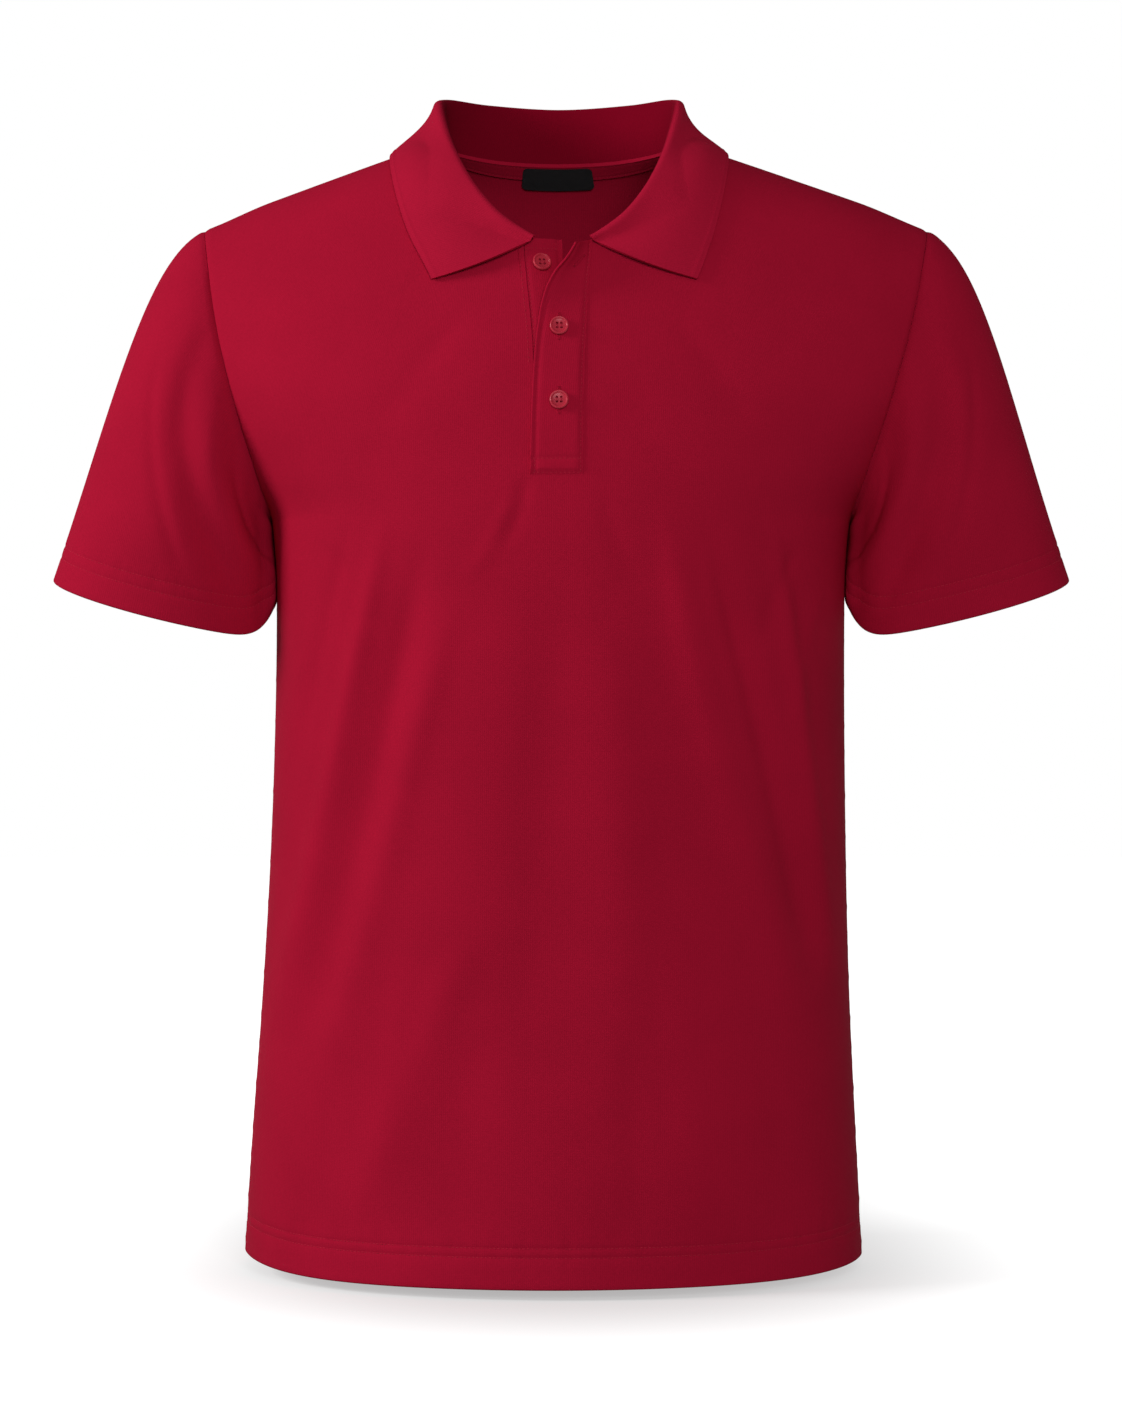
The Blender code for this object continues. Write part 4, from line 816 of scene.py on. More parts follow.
def panel(side, cloth):
    """The sheets of one panel: its halves, and at the front the strip below the slot between them."""
    left, underarm, slot_foot = half_panel(side, -1, cloth)
    right = half_panel(side, 1, cloth)[0]
    outside = lower_heights()[2]
    halves = []
    for grid, sign in ((left, -1), (right, 1)):
        made = seamed(grid, side, cloth)[:, ::-1]
        measured = cloth_lengths(made, outside)
        measured[..., 0] = sign * (measured[..., 0] + np.abs(made[:, :1, 0]))
        if sign < 0:
            made, measured = made[:, ::-1], measured[:, ::-1]
        halves.append((made, measured))
    if side == "back":
        return [(grid[:, ::-1], lengths[:, ::-1]) for grid, lengths in halves]
    rows = slot_foot + 1
    heights = lower_heights()[0]
    share = np.linspace(0, 1, SLOT_COLUMNS)[None, :]
    ends = [angle_at(inner_line(side, sign, heights), heights)[:, None] for sign in (-1, 1)]
    low = lower_part(side, ends[0] + (ends[1] - ends[0]) * share, cloth)
    beside = [half[underarm + 1:rows, -1:] for half in (left, right)]
    flat = beside[0] * (1 - share[..., None]) + beside[1] * share[..., None]
    high = body_point(side, angle_at(flat[..., 0], flat[..., 2]), flat[..., 2], creased=True)
    middle = np.concatenate([low, high])
    middle[:, 0], middle[:, -1] = halves[0][0][:rows, -1], halves[1][0][:rows, 0]
    measured = cloth_lengths(middle, outside)
    measured[..., 0] += middle[:, :1, 0]
    return [halves[0], (middle, measured), halves[1]]


# ---------------- sleeves
def armhole_loop(sign):
    """The armhole's points from the shoulder tip down the front and up the back, and their shares round."""
    down, up = armhole_edge("front", sign)[::-1], armhole_edge("back", sign)
    along_down, along_up = lengths_along(down), lengths_along(up)
    shares = np.concatenate([0.5 * along_down / along_down[-1], 0.5 + 0.5 * along_up[1:-1] / along_up[-1]])
    return np.concatenate([down, up[1:-1]]), shares


def off_panel(loop):
    """The way that leads off the panels at each point of the armhole, flat in their surface."""
    tangent = np.roll(loop, -1, axis=0) - np.roll(loop, 1, axis=0)
    off = unit(np.cross(tangent, outward(loop)))
    return off * np.sign(off[0, 0] * loop[0, 0])


def sleeve_grid(start, shares, rows, shift):
    """Outer face of the sleeve at +X, rows from the armhole to the cuff."""
    turn = (shares * 2 * math.pi)[:, None]
    end = CUFF_MIDDLE + shift + CUFF_OUTWARD * np.cos(turn) + CUFF_FORWARD * np.sin(turn)
    end = end + np.array((0.0, 0.0, CUFF_INNER_LIFT)) * np.maximum(-np.cos(turn), 0.0) ** CUFF_LIFT_POWER
    quarters = through(np.linspace(0, 1, 5), np.concatenate([SLEEVE, SLEEVE[:1]]), shares, level_out=True)
    leaving, arriving = unit(quarters[:, 0:3]), unit(quarters[:, 4:7])
    near, far = start + leaving * quarters[:, 3:4], end - arriving * quarters[:, 7:8]
    grid = curve(rows[:, None, None], start, near, far, end)
    proud = np.zeros((len(rows), len(shares)))
    for s0, r0, s1, r1, half, rise in SLEEVE_FOLDS + SLEEVE_CREASES:
        share = (shares[None, :] - s0) / (s1 - s0)
        middle = r0 + (r1 - r0) * share
        ends = ease(share / SLEEVE_FOLD_FADE) * ease((1 - share) / SLEEVE_FOLD_FADE)
        proud += rise * ends * hump(rows[:, None] - middle, ROUND_TO_LENGTH * half)
    at_armhole, at_cuff = SLEEVE_FOLD_SPANS
    proud *= ease(rows / at_armhole)[:, None] * ease((1 - rows) / at_cuff)[:, None]
    return grid + grid_normals(grid, closed=True) * proud[..., None]


def sleeve_form(sign):
    """The smooth outer face of a sleeve from the armhole to the cuff, with its normals.

    Returns its points and normals by row and column, the shares round and the armhole's points.
    """
    loop, shares = armhole_loop(sign)
    turned = np.array([sign, 1.0, 1.0])
    rows = np.linspace(0, 1, DENSE_ROWS)
    start = (loop + off_panel(loop) * 2 * SEAM_HALF_GAP) * turned
    outer = sleeve_grid(start, shares, rows, np.array([SLEEVE_SHIFT * sign, 0.0, 0.0])) * turned
    below = ease((UNDERARM_HEIGHT + DRAWN_FROM - outer[..., 2]) / DRAWN_SPAN)
    beside = below * ease(rows / DRAWN_FADE[0])[:, None]
    near_cuff = ease((1 - rows) / DRAWN_FADE[1])[:, None]
    outer += (drawn_to_body(outer, near_cuff) - outer) * beside[..., None]
    normals = grid_normals(outer * turned, closed=True) * turned
    normals[0] = unit(normals[0] + outward(loop))
    return outer, normals, shares, loop


def sleeve_rows_at(outer, normals, places):
    """Rows of a sleeve at these distances, given for each column, with their normals."""
    columns = range(outer.shape[1])
    points = [at_distances(outer[:, column], places[:, column]) for column in columns]
    facing = [at_distances(outer[:, column], places[:, column], normals[:, column]) for column in columns]
    return np.stack(points, axis=1), unit(np.stack(facing, axis=1))


def sleeve(sign, cloth):
    """The sheet of one sleeve, from its allowance inside the armhole to its turned-up hem's raw edge."""
    outer, normals, shares, loop = sleeve_form(sign)
    above, insets, first_outer = turned_hem(SLEEVE_HEM_DEPTH, CUFF_STITCH_ROWS, HEM_WALL)
    above, insets, outer_hem = above[::-1], insets[::-1], len(above) - first_outer
    on_outside = np.arange(len(above)) < outer_hem
    for row in CUFF_STITCH_ROWS:
        insets = insets + cloth.stitch_dip * hump(above - row, STITCH_GROOVE) * on_outside
    length = column_lengths(outer)
    share = np.linspace(0, 1, SLEEVE_ROWS)[1:-1, None]
    body = SEAM_STEPS[-1] + (length - above[0] - SEAM_STEPS[-1]) * share
    places = np.concatenate([np.array(SEAM_STEPS)[:, None] + 0 * length, body, length - above[:, None]])
    grid, facing = sleeve_rows_at(outer, normals, places)
    count = len(places)
    above_hem = np.concatenate([np.full(count - len(above), 1.0), above])[:, None] - SLEEVE_HEM_DEPTH
    around = lengths_along(loop)[None, :]
    middle = int(np.argmin(np.abs(shares - 0.5)))
    from_underarm = np.linalg.norm(grid - grid[:, middle:middle + 1], axis=-1)
    outside = (np.arange(count) < count - first_outer)[:, None]
    move = -np.concatenate([np.zeros(count - len(insets)), insets])[:, None]
    move = move - cloth.seam_dip * hump(places, cloth.seam_width) * outside
    move = move - cloth.seam_dip * UNDERARM_DIP_SHARE * hump(from_underarm, cloth.seam_width) * outside
    at_seam = waver(around, 4.0 + sign) * (hump(places - SEAM_PUCKER[0], SEAM_PUCKER[1]) * outside)
    at_hem = waver(around, 5.0 + sign) * hump(above_hem, CUFF_PUCKER_SPAN)
    move = move + cloth.pucker * (at_seam + at_hem)
    grid = grid + facing * move[..., None]
    allowance = grid[:1] - outward(loop)[None] * np.array(ALLOWANCE)[:, None, None]
    grid = np.concatenate([allowance, grid])
    grid = np.concatenate([grid[:, middle:], grid[:, :middle + 1]], axis=1)
    measured = cloth_lengths(grid)
    measured[..., 0] = measured[len(grid) // 2, :, 0]
    if sign < 0:
        grid, measured = grid[:, ::-1], measured[:, ::-1]
    return [(grid, measured)]


# ---------------- collar
def neck_seam(sign, shares):
    """Points of the neckline from the front end of the collar round to the middle of the back."""
    end = neck_share("front", sign, COLLAR_ENDS[sign])
    front = neck_line("front", sign, np.linspace(end, 0, NECK_POINTS))
    back = neck_line("back", sign, np.linspace(0, 1, NECK_POINTS))
    front = body_point("front", angle_at(front[:, 0], front[:, 1]), front[:, 1])
    back = body_point("back", angle_at(back[:, 0], back[:, 1]), back[:, 1])
    return spread_along(np.concatenate([front, back[1:]]), shares)


def crowded(count, power):
    """Shares from 0 to 1 that stand closer towards 1, the more the higher the power."""
    return 1 - (1 - np.linspace(0, 1, count + 1)) ** power


def bent_line(start, end, leaving, arriving, count, power=1.0):
    """Points on a curve from start to end that leaves and arrives in the given ways."""
    reach = np.linalg.norm(end - start, axis=-1, keepdims=True) * BEND_REACH
    near, far = start + leaving * reach, end - arriving * reach
    return curve(crowded(count, power)[:, None, None], start, near, far, end)


def collar_half(sign):
    """Middle face of one half of the collar: rows from the neck seam over the roll to the outer edge."""
    shares = np.linspace(0, 1, COLLAR_AROUND)
    past_middle = COLLAR[-2] * (-1, -1, 1, 1, -1, 1, 1) + (2, 0, 0, 0, 0, 0, 0)
    knots = np.arange(len(COLLAR) + 1) / (len(COLLAR) - 1)
    rows = through(knots, np.concatenate([COLLAR, past_middle[None]]), shares)
    seam = neck_seam(sign, np.clip(rows[:, 0], 0, 1))
    pulled = ease(1 - shares / COLLAR_PULLED)
    pull = (COLLAR_SHIFT + (NECK_PULL - COLLAR_SHIFT) * pulled)[:, None] * (1, 0, 0)
    roll = rows[:, 1:4] * (sign, 1, 1) + pull
    edge = rows[:, 4:7] * (sign, 1, 1) + pull * (1 + EDGE_PULL * ease(1 - shares / EDGE_PULLED)[:, None])
    edge = off_body(edge, COLLAR_EDGE_OFF + np.zeros(COLLAR_AROUND))
    along = unit(np.gradient(roll, axis=0))
    along[-1] = (-sign, 0.0, 0.0)
    rise = roll - seam
    up = unit(rise - along * (rise * along).sum(-1, keepdims=True))
    out = np.cross(along, up) * sign
    sewn = seam - outward(seam) * WALL / 2 + up * COLLAR_SEAM_RISE
    at_end = (1 - ease(shares / END_SHARE))[:, None]
    radius = ROLL_RADIUS * (1 - END_FLATTER * at_end)
    crown = roll - up * radius
    stand = bent_line(sewn, crown - out * radius, up, up, COLLAR_STAND_ROWS)
    turn = np.linspace(0, ROLL_TURN, COLLAR_ROLL_ROWS + 1)[1:, None, None]
    over = crown - out * radius * np.cos(turn) + up * radius * np.sin(turn)
    lying = unit(edge - crown - out * (COLLAR_STAND_OFF + ROLL_RADIUS))
    leaving = unit(out * math.sin(ROLL_TURN) + up * math.cos(ROLL_TURN) + lying * END_LEAN * at_end)
    fall = bent_line(over[-1], edge, leaving, lying, COLLAR_FALL_ROWS, COLLAR_CROWDING)
    share = crowded(COLLAR_FALL_ROWS, COLLAR_CROWDING)[:, None]
    between = np.sin(share * math.pi)
    bow = COLLAR_FRONT_BULGE * between * np.maximum(1 - shares / BULGE_SHARE, 0.0) ** 2
    fall = fall - along * bow[..., None]
    fall = clear_of_body(fall, COLLAR_EDGE_OFF + (COLLAR_STAND_OFF - COLLAR_EDGE_OFF) * between)
    return np.concatenate([stand, over[:-1], fall])


def collar_sheet(trim):
    """The sheet of the collar, with a raised line along its outer edge."""
    left, right = collar_half(-1), collar_half(1)
    grid = np.concatenate([left, right[:, -2::-1]], axis=1)
    normals = grid_normals(grid)
    from_edge = np.linalg.norm(grid - grid[-1:], axis=-1)
    on_fall = (np.arange(len(grid)) > len(grid) - COLLAR_FALL_ROWS)[:, None]
    line = hump(from_edge - trim.collar_line_in, COLLAR_LINE_WIDTH) * on_fall
    grid = grid + normals * (trim.collar_line_height * line)[..., None]
    return [(grid, cloth_lengths(grid))]


# ---------------- placket bands
def front_point(x, height):
    return body_point("front", angle_at(x, height), height, creased=True)


def upper_band(share, height):
    """Outer face of the upper band: share is 0 at its sewn edge and 1 at its free edge."""
    free, sewn, forward = (placket_at(height, column) for column in (FREE, SEWN, FORWARD))
    x = sewn + (free - sewn) * share
    base = front_point(x, height)
    drop = UPPER_BAND_DROP * ease((height - UPPER_BAND_TOP) / UPPER_BAND_DROP_SPAN + 1) * share
    return base + outward(base, "front") * (LAY_GAP + WALL) + np.stack(
        [np.zeros_like(x), -forward * np.maximum(share, 0.0) ** BAND_LEAN_POWER, -drop], axis=-1
    )


def under_band(share, height):
    """Outer face of the under band: share is 0 at its sewn edge and 1 at its free edge."""
    free, back, slot = (placket_at(height, column) for column in (UNDER, FALLS_BACK, SLOT))
    sewn = slot + 2 * SEAM_HALF_GAP
    x = sewn + (free - sewn) * share
    backward = back * np.maximum(share, 0.0) ** BAND_LEAN_POWER
    return front_point(x, height) + np.stack([np.zeros_like(x), backward, np.zeros_like(x)], axis=-1)


def band_width(surface, height):
    """Width of a band at a height, straight from its sewn edge to its free edge."""
    across = surface(np.ones_like(height), height) - surface(np.zeros_like(height), height)
    return np.linalg.norm(across, axis=-1)


def facing_out(surface, share, height):
    """Points of a band's outer face with their unit normals, which point away from the wearer."""
    aside, above = 0.01, 0.0003
    point = surface(share, height)
    across = surface(share + aside, height) - surface(share - aside, height)
    up = surface(share, height + above) - surface(share, height - above)
    normal = unit(np.cross(across, up))
    normal = normal * np.where(normal[..., 1:2] > 0, -1.0, 1.0)
    if surface is upper_band:
        width = placket_at(height, SEWN) - placket_at(height, FREE)
        flat = np.minimum(ease(share * width / BAND_PRESS), ease((height - PLACKET_FOOT) / BAND_PRESS))
        point = point - normal * (BAND_PRESSED * (1 - flat))[..., None]
    return point, normal


def folded_band(surface, foot, top, grooves, cross_grooves, cloth):
    """A band of cloth folded double at its free edge, as rows up its height and columns round its section.

    Grooves are stitch lines by their distance from the free edge, and from the sewn edge if below zero.
    """
    heights = np.linspace(foot, top, BAND_ROWS)[:, None]
    width = band_width(surface, heights)
    radius = WALL / 2
    near, far = np.array(BAND_NEAR), np.array(BAND_FAR)
    start, end = near[-1] / width, 1 - far[0] / width
    inner = start + (end - start) * np.linspace(0, 1, BAND_COLUMNS)[None, 1:-1]
    share = np.concatenate([near / width, inner, 1 - far / width, 1 - radius / width], axis=1)
    place, normal = facing_out(surface, share, heights + 0 * share)
    across = share * width
    dip = np.zeros_like(share)
    for line in grooves:
        dip += hump(across + line if line < 0 else width - across - line, STITCH_GROOVE)
    boxed = sum(hump(heights - line, STITCH_GROOVE) for line in cross_grooves) * np.ones_like(share)
    boxed = np.maximum(boxed, hump(width - across - max(grooves), STITCH_GROOVE))
    outer = place - normal * (cloth.stitch_dip * np.minimum(dip + boxed, 1.0) + BOX_SINK * boxed)[..., None]
    side = unit(place[:, -1:] - place[:, -2:-1])
    turn = np.radians(FOLD_TURN[::-1])[None, :, None]
    edge = place[:, -1:] + side * radius * np.sin(turn) - normal[:, -1:] * radius * (1 - np.cos(turn))
    under = (place - normal * WALL)[:, BAND_UNDER]
    pinch = BAND_END_PINCH * (np.arange(BAND_ROWS) % (BAND_ROWS - 1) == 0)[:, None, None]
    outer, under = outer - normal * pinch, under + normal[:, BAND_UNDER] * pinch
    if surface is under_band:
        tucked = outer[:, :1] - normal[:, :1] * TUCK_DEPTH - side * np.array(TUCK_REACH)[None, :, None]
        outer = np.concatenate([tucked, outer], axis=1)
    grid = np.concatenate([outer, edge, under], axis=1)
    if surface is upper_band:
        grid = grid[:, ::-1]
    return [(grid, cloth_lengths(grid))]


# ---------------- inside of the neck
def inside_back(shares, depths, lift):
    """Points inside the back below its neckline, by share of a half panel's columns, below zero at -X.

    Lift is how far each stands off the outer face. Returns the points and their normals, which face inwards.
    """
    columns = []
    for share in shares:
        column = upper_column("back", -1 if share < 0 else 1, 1 - (1 - SHOULDER_SHARE) * abs(share))
        columns.append(at_distances(column, lengths_along(column)[-1] - np.asarray(depths)))
    grid = np.stack(columns, axis=1)
    normals = -outward(grid, "back")
    return grid + normals * lift[..., None], normals


def tape_sheet():
    """The tape over the back neck seam, with its top edge turned up along the collar's stand."""
    depths = np.linspace(TAPE_DEPTH, 0.0, TAPE_ROWS)
    shares = np.linspace(-TAPE_END, TAPE_END, TAPE_COLUMNS)
    pressed = TAPE_CROWN_PRESSED * sum(hump(depths - line, STITCH_GROOVE) for line in TAPE_LINES)
    lift = TAPE_LIFT + TAPE_CROWN * (1 - pressed)[:, None] * np.ones_like(shares)
    grid, _ = inside_back(shares, depths, lift)
    rise = np.linspace(0, TAPE_RISE, TAPE_RISE_ROWS)[1:, None, None]
    turned = grid[-1:] + rise * np.array(TAPE_RISE_WAY)
    grid = np.concatenate([grid, turned])
    return [(grid, cloth_lengths(grid))]


def label_sheet():
    """The woven label: a rounded oblong over the tape, with its edges pressed down."""
    up = np.linspace(-1, 1, LABEL_ROWS)[:, None] + np.zeros((1, LABEL_COLUMNS))
    across = np.linspace(-1, 1, LABEL_COLUMNS)[None, :] + np.zeros((LABEL_ROWS, 1))
    half_high = (LABEL_DEPTH - LABEL_TOP) / 2
    x, y = across * LABEL_HALF, up * half_high
    near_side = np.clip((np.abs(x) - LABEL_HALF) / LABEL_CORNER + 1, 0, 1)
    near_top = np.clip((np.abs(y) - half_high) / LABEL_CORNER + 1, 0, 1)
    x = x - np.sign(x) * LABEL_CORNER * near_side * (1 - np.sqrt(1 - near_top**2 / 2))
    y = y - np.sign(y) * LABEL_CORNER * near_top * (1 - np.sqrt(1 - near_side**2 / 2))
    rim = np.maximum(np.abs(up), np.abs(across)) ** LABEL_RIM_POWER
    points = on_inside_back(x, LABEL_TOP + half_high - y, LABEL_LIFT - LABEL_PRESSED * rim)
    return [(points, np.stack([x, y], axis=-1))]


def on_inside_back(x, depth, lift):
    """Points inside the back by distance from its middle line and depth below the neckline."""
    rows, columns = INSIDE_ROWS, INSIDE_COLUMNS
    depths = np.linspace(0.0, LABEL_DEPTH + 0.001, rows)
    shares = np.linspace(-INSIDE_END, INSIDE_END, columns)
    base, normals = inside_back(shares, depths, np.zeros((rows, columns)))
    reach = lengths_along(base[rows // 2])
    column = np.interp(x, reach - reach[columns // 2], np.arange(columns))
    row = np.interp(depth, depths, np.arange(rows))
    left = np.floor(column).astype(int).clip(0, columns - 2)
    low = np.floor(row).astype(int).clip(0, rows - 2)
    right_share, high_share = (column - left)[..., None], (row - low)[..., None]
    points = (
        base[low, left] * (1 - high_share) * (1 - right_share)
        + base[low, left + 1] * (1 - high_share) * right_share
        + base[low + 1, left] * high_share * (1 - right_share)
        + base[low + 1, left + 1] * high_share * right_share
    )
    return points + normals[low, left] * np.asarray(lift)[..., None]


def added(name, data):
    piece = bpy.data.objects.new(name, data)
    bpy.context.scene.collection.objects.link(piece)
    return piece


def evaluated_mesh(piece):
    return bpy.data.meshes.new_from_object(piece.evaluated_get(bpy.context.evaluated_depsgraph_get()))


def sheet(name, grids, thick, offset=-1.0):
    """A cloth sheet: grids joined where their edges meet, with a thickness and the knit's lengths as UVs."""
    made = bmesh.new()
    for points, _ in grids:
        rows, columns = points.shape[:2]
        bmesh.ops.create_grid(made, x_segments=columns - 1, y_segments=rows - 1, size=0.5)  # -0.5 to 0.5
    mesh = bpy.data.meshes.new(name)
    made.to_mesh(mesh)
    made.free()
    flat = np.empty(len(mesh.vertices) * 3)
    mesh.vertices.foreach_get("co", flat)
    flat = flat.reshape(-1, 3) + 0.5
    shaped, knit, first = [], [], 0
    for points, lengths in grids:
        rows, columns = points.shape[:2]
        own = flat[first:first + rows * columns]
        row = np.rint(own[:, 1] * (rows - 1)).astype(int)
        column = np.rint(own[:, 0] * (columns - 1)).astype(int)
        shaped.append(points[row, column])
        knit.append(lengths[row, column])
        first += rows * columns
    mesh.vertices.foreach_set("co", np.concatenate(shaped).ravel())
    corners = np.empty(len(mesh.loops), int)
    mesh.loops.foreach_get("vertex_index", corners)
    mesh.uv_layers.new(name=KNIT_LENGTHS).data.foreach_set("uv", np.concatenate(knit)[corners].ravel())
    joined = bmesh.new()
    joined.from_mesh(mesh)
    bmesh.ops.remove_doubles(joined, verts=joined.verts, dist=MERGE_WITHIN)
    joined.to_mesh(mesh)
    joined.free()
    piece = added(name, mesh)
    wall = piece.modifiers.new("cloth wall", "SOLIDIFY")
    wall.thickness, wall.offset = thick, offset
    return settled(piece)


def settled(piece, sharp=50):
    """The piece with its modifiers made part of its mesh, smooth but for its sharp edges."""
    mesh = evaluated_mesh(piece)
    piece.modifiers.clear()
    piece.data = mesh
    mesh.name = piece.name
    mesh.shade_smooth()
    mesh.set_sharp_from_angle(angle=math.radians(sharp))
    return piece


def finished(piece, material, nodes=()):
    """The piece with its material, riding on the body and standing for its solids."""
    piece.data.materials.clear()
    piece.data.materials.append(material)
    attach(piece, BODY_NAME)
    if nodes:
        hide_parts(*nodes)
    return piece


def mark_painted_shade_inside(piece):
    """Keeps for each point of the collar how far it faces the middle of the neck, the mask of the painted
    shade inside the stand.
    """
    marked = piece.data.attributes.new(PAINTED_SHADE_MASK, "FLOAT", "POINT")
    for point, share in zip(piece.data.vertices, marked.data):
        inward = -Vector((point.co.x, point.co.y, 0.0)).normalized()
        share.value = ease((point.normal.dot(inward) - INNER_FROM) / (INNER_TO - INNER_FROM))


# ---------------- threads
def threads(name, lines, radius, material):
    """Short lengths of thread, each along its own line of points."""
    strands = bpy.data.curves.new(name, "CURVE")
    strands.dimensions = "3D"
    strands.bevel_depth, strands.bevel_resolution = radius, 1
    strands.use_fill_caps = True
    for line in lines:
        run = strands.splines.new("POLY")
        run.points.add(len(line) - 1)
        for point, place in zip(run.points, line):
            point.co = (*place, 1.0)
    drawn = added(name, strands)
    mesh = evaluated_mesh(drawn)
    bpy.data.objects.remove(drawn)
    mesh.name = name
    mesh.shade_smooth()
    return finished(added(name, mesh), material)


def stitch_lines(points, normals, stitches, closed=False):
    """A row of stitches along a line on the cloth, each one dipping into it at both ends."""
    if closed:
        points, normals = np.concatenate([points, points[:1]]), np.concatenate([normals, normals[:1]])
    length = lengths_along(points)[-1]
    count = max(int(length / stitches.pitch), 1)
    lines = []
    for number in range(count):
        start = (number + 0.5 * (1 - stitches.length / stitches.pitch)) * length / count
        along = start + stitches.length * np.array(STITCH_ALONG)
        place, out = at_distances(points, along), unit(at_distances(points, along, normals))
        lines.append(place + out * (stitches.height * np.array(STITCH_RISE) - STITCH_SUNK)[:, None])
    return lines


def panel_row(side, height_above_hem):
    """A line round the outside of a panel at a height above its hem, with its normals."""
    angles = np.linspace(-PANEL_LINE_END, PANEL_LINE_END, PANEL_LINE_POINTS) * math.pi
    height = np.full(PANEL_LINE_POINTS, HEM_HEIGHT + height_above_hem)
    points = body_point(side, angles, height + hem_lift(angles, height), creased=True)
    return points, outward(points, side)


def cuff_line(outer, normals, above_cuff):
    """A line round a sleeve at a distance above its cuff, with its normals."""
    points, facing = sleeve_rows_at(outer, normals, (column_lengths(outer) - above_cuff)[None])
    return points[0], facing[0]


def band_spot(surface, x, height):
    """Outer face of a band with its normals, at places seen from the front."""
    if surface is upper_band:
        free, sewn = placket_at(height, FREE), placket_at(height, SEWN)
    else:
        free, sewn = placket_at(height, UNDER), placket_at(height, SLOT) + 2 * SEAM_HALF_GAP
    return facing_out(surface, (x - sewn) / (free - sewn), height)


def band_upright(surface, line, foot, top):
    """A line up a band at a distance from its free edge, or if below zero from its sewn edge."""
    height = np.linspace(foot, top, BAND_LINE_POINTS)
    width = band_width(surface, height)
    points, normals = facing_out(surface, -line / width if line < 0 else 1 - line / width, height)
    return points - normals * (0.0 if line < 0 else BOX_SINK), normals


def band_level(surface, height, start, end):
    """A level line across a band between two shares of its width, sunk as deep as its groove."""
    shares = np.linspace(start, end, BAND_ACROSS_POINTS)
    points, normals = facing_out(surface, shares, np.full(BAND_ACROSS_POINTS, height))
    return points - normals * BOX_SINK, normals


def slot_row(foot, top):
    """The row of stitches on the front beside the placket's slot."""
    height = np.linspace(foot, top, SLOT_LINE_POINTS)
    points = front_point(placket_at(height, SLOT) - SLOT_LINE_IN, height)
    return points, outward(points, "front")


def placket_rows():
    """The rows of stitches up and across the two bands."""
    upper, under = UPPER_BAND_BOX, UNDER_BAND_BOX
    return [
        band_upright(upper_band, UPPER_BAND_LINES[1], upper[1], UPPER_BAND_TOP - STITCHES_SHORT),
        band_upright(upper_band, UPPER_BAND_LINES[0], upper[1], upper[0]),
        *(band_level(upper_band, height, *UPPER_BAND_ACROSS) for height in upper),
        band_upright(under_band, UNDER_BAND_LINES[0], PLACKET_SLOT_FOOT + STITCHES_SHORT, under[1]),
        *(band_level(under_band, height, *UNDER_BAND_ACROSS) for height in under),
    ]


def satin_lines(x, height, length, tilt):
    """The stitches round a buttonhole in the upper band, whose slit leans from upright by the tilt."""
    slit, aside = np.array((math.sin(tilt), math.cos(tilt))), np.array((math.cos(tilt), -math.sin(tilt)))
    lines = []
    for step in np.arange(-length / 2, length / 2, SATIN_PITCH):
        for way_out in (-1, 1):
            reaches = np.linspace(*SATIN_REACH, len(SATIN_RISE))
            flat = [slit * step + aside * way_out * reach for reach in reaches]
            lines.append((np.array(flat) + (x, height), SATIN_RISE))
    reaches = np.linspace(-SATIN_REACH[1], SATIN_REACH[1], len(BAR_RISE))
    for end in (-length / 2, length / 2):
        for step in BAR_STEPS:
            flat = [slit * (end + step) + aside * reach for reach in reaches]
            lines.append((np.array(flat) + (x, height), BAR_RISE))
    spots = [(band_spot(upper_band, flat[:, 0], flat[:, 1]), np.array(rise)) for flat, rise in lines]
    return [point + normal * (rise * SATIN_HEIGHT)[:, None] for (point, normal), rise in spots]


def button_seat(across, height, band):
    """Where a button lies: its middle on the band, and the ways right, up and out."""
    surface = upper_band if band == "upper" else under_band
    x, z = np.array([across]), np.array([height])
    seat, normal = (item[0] for item in band_spot(surface, x, z))
    right = unit(np.cross((0, 0, 1), -normal)) * -1
    return seat + normal * BUTTON_LIFT, right, np.cross(normal, right), normal


def placed(base, right, up, out):
    """The matrix that takes a piece made at the origin to its place."""
    turn = np.eye(4)
    turn[:3, 0], turn[:3, 1], turn[:3, 2], turn[:3, 3] = right, up, out, base
    return Matrix(turn.tolist())


def made_piece(name, made):
    mesh = bpy.data.meshes.new(name)
    made.to_mesh(mesh)
    made.free()
    return added(name, mesh)


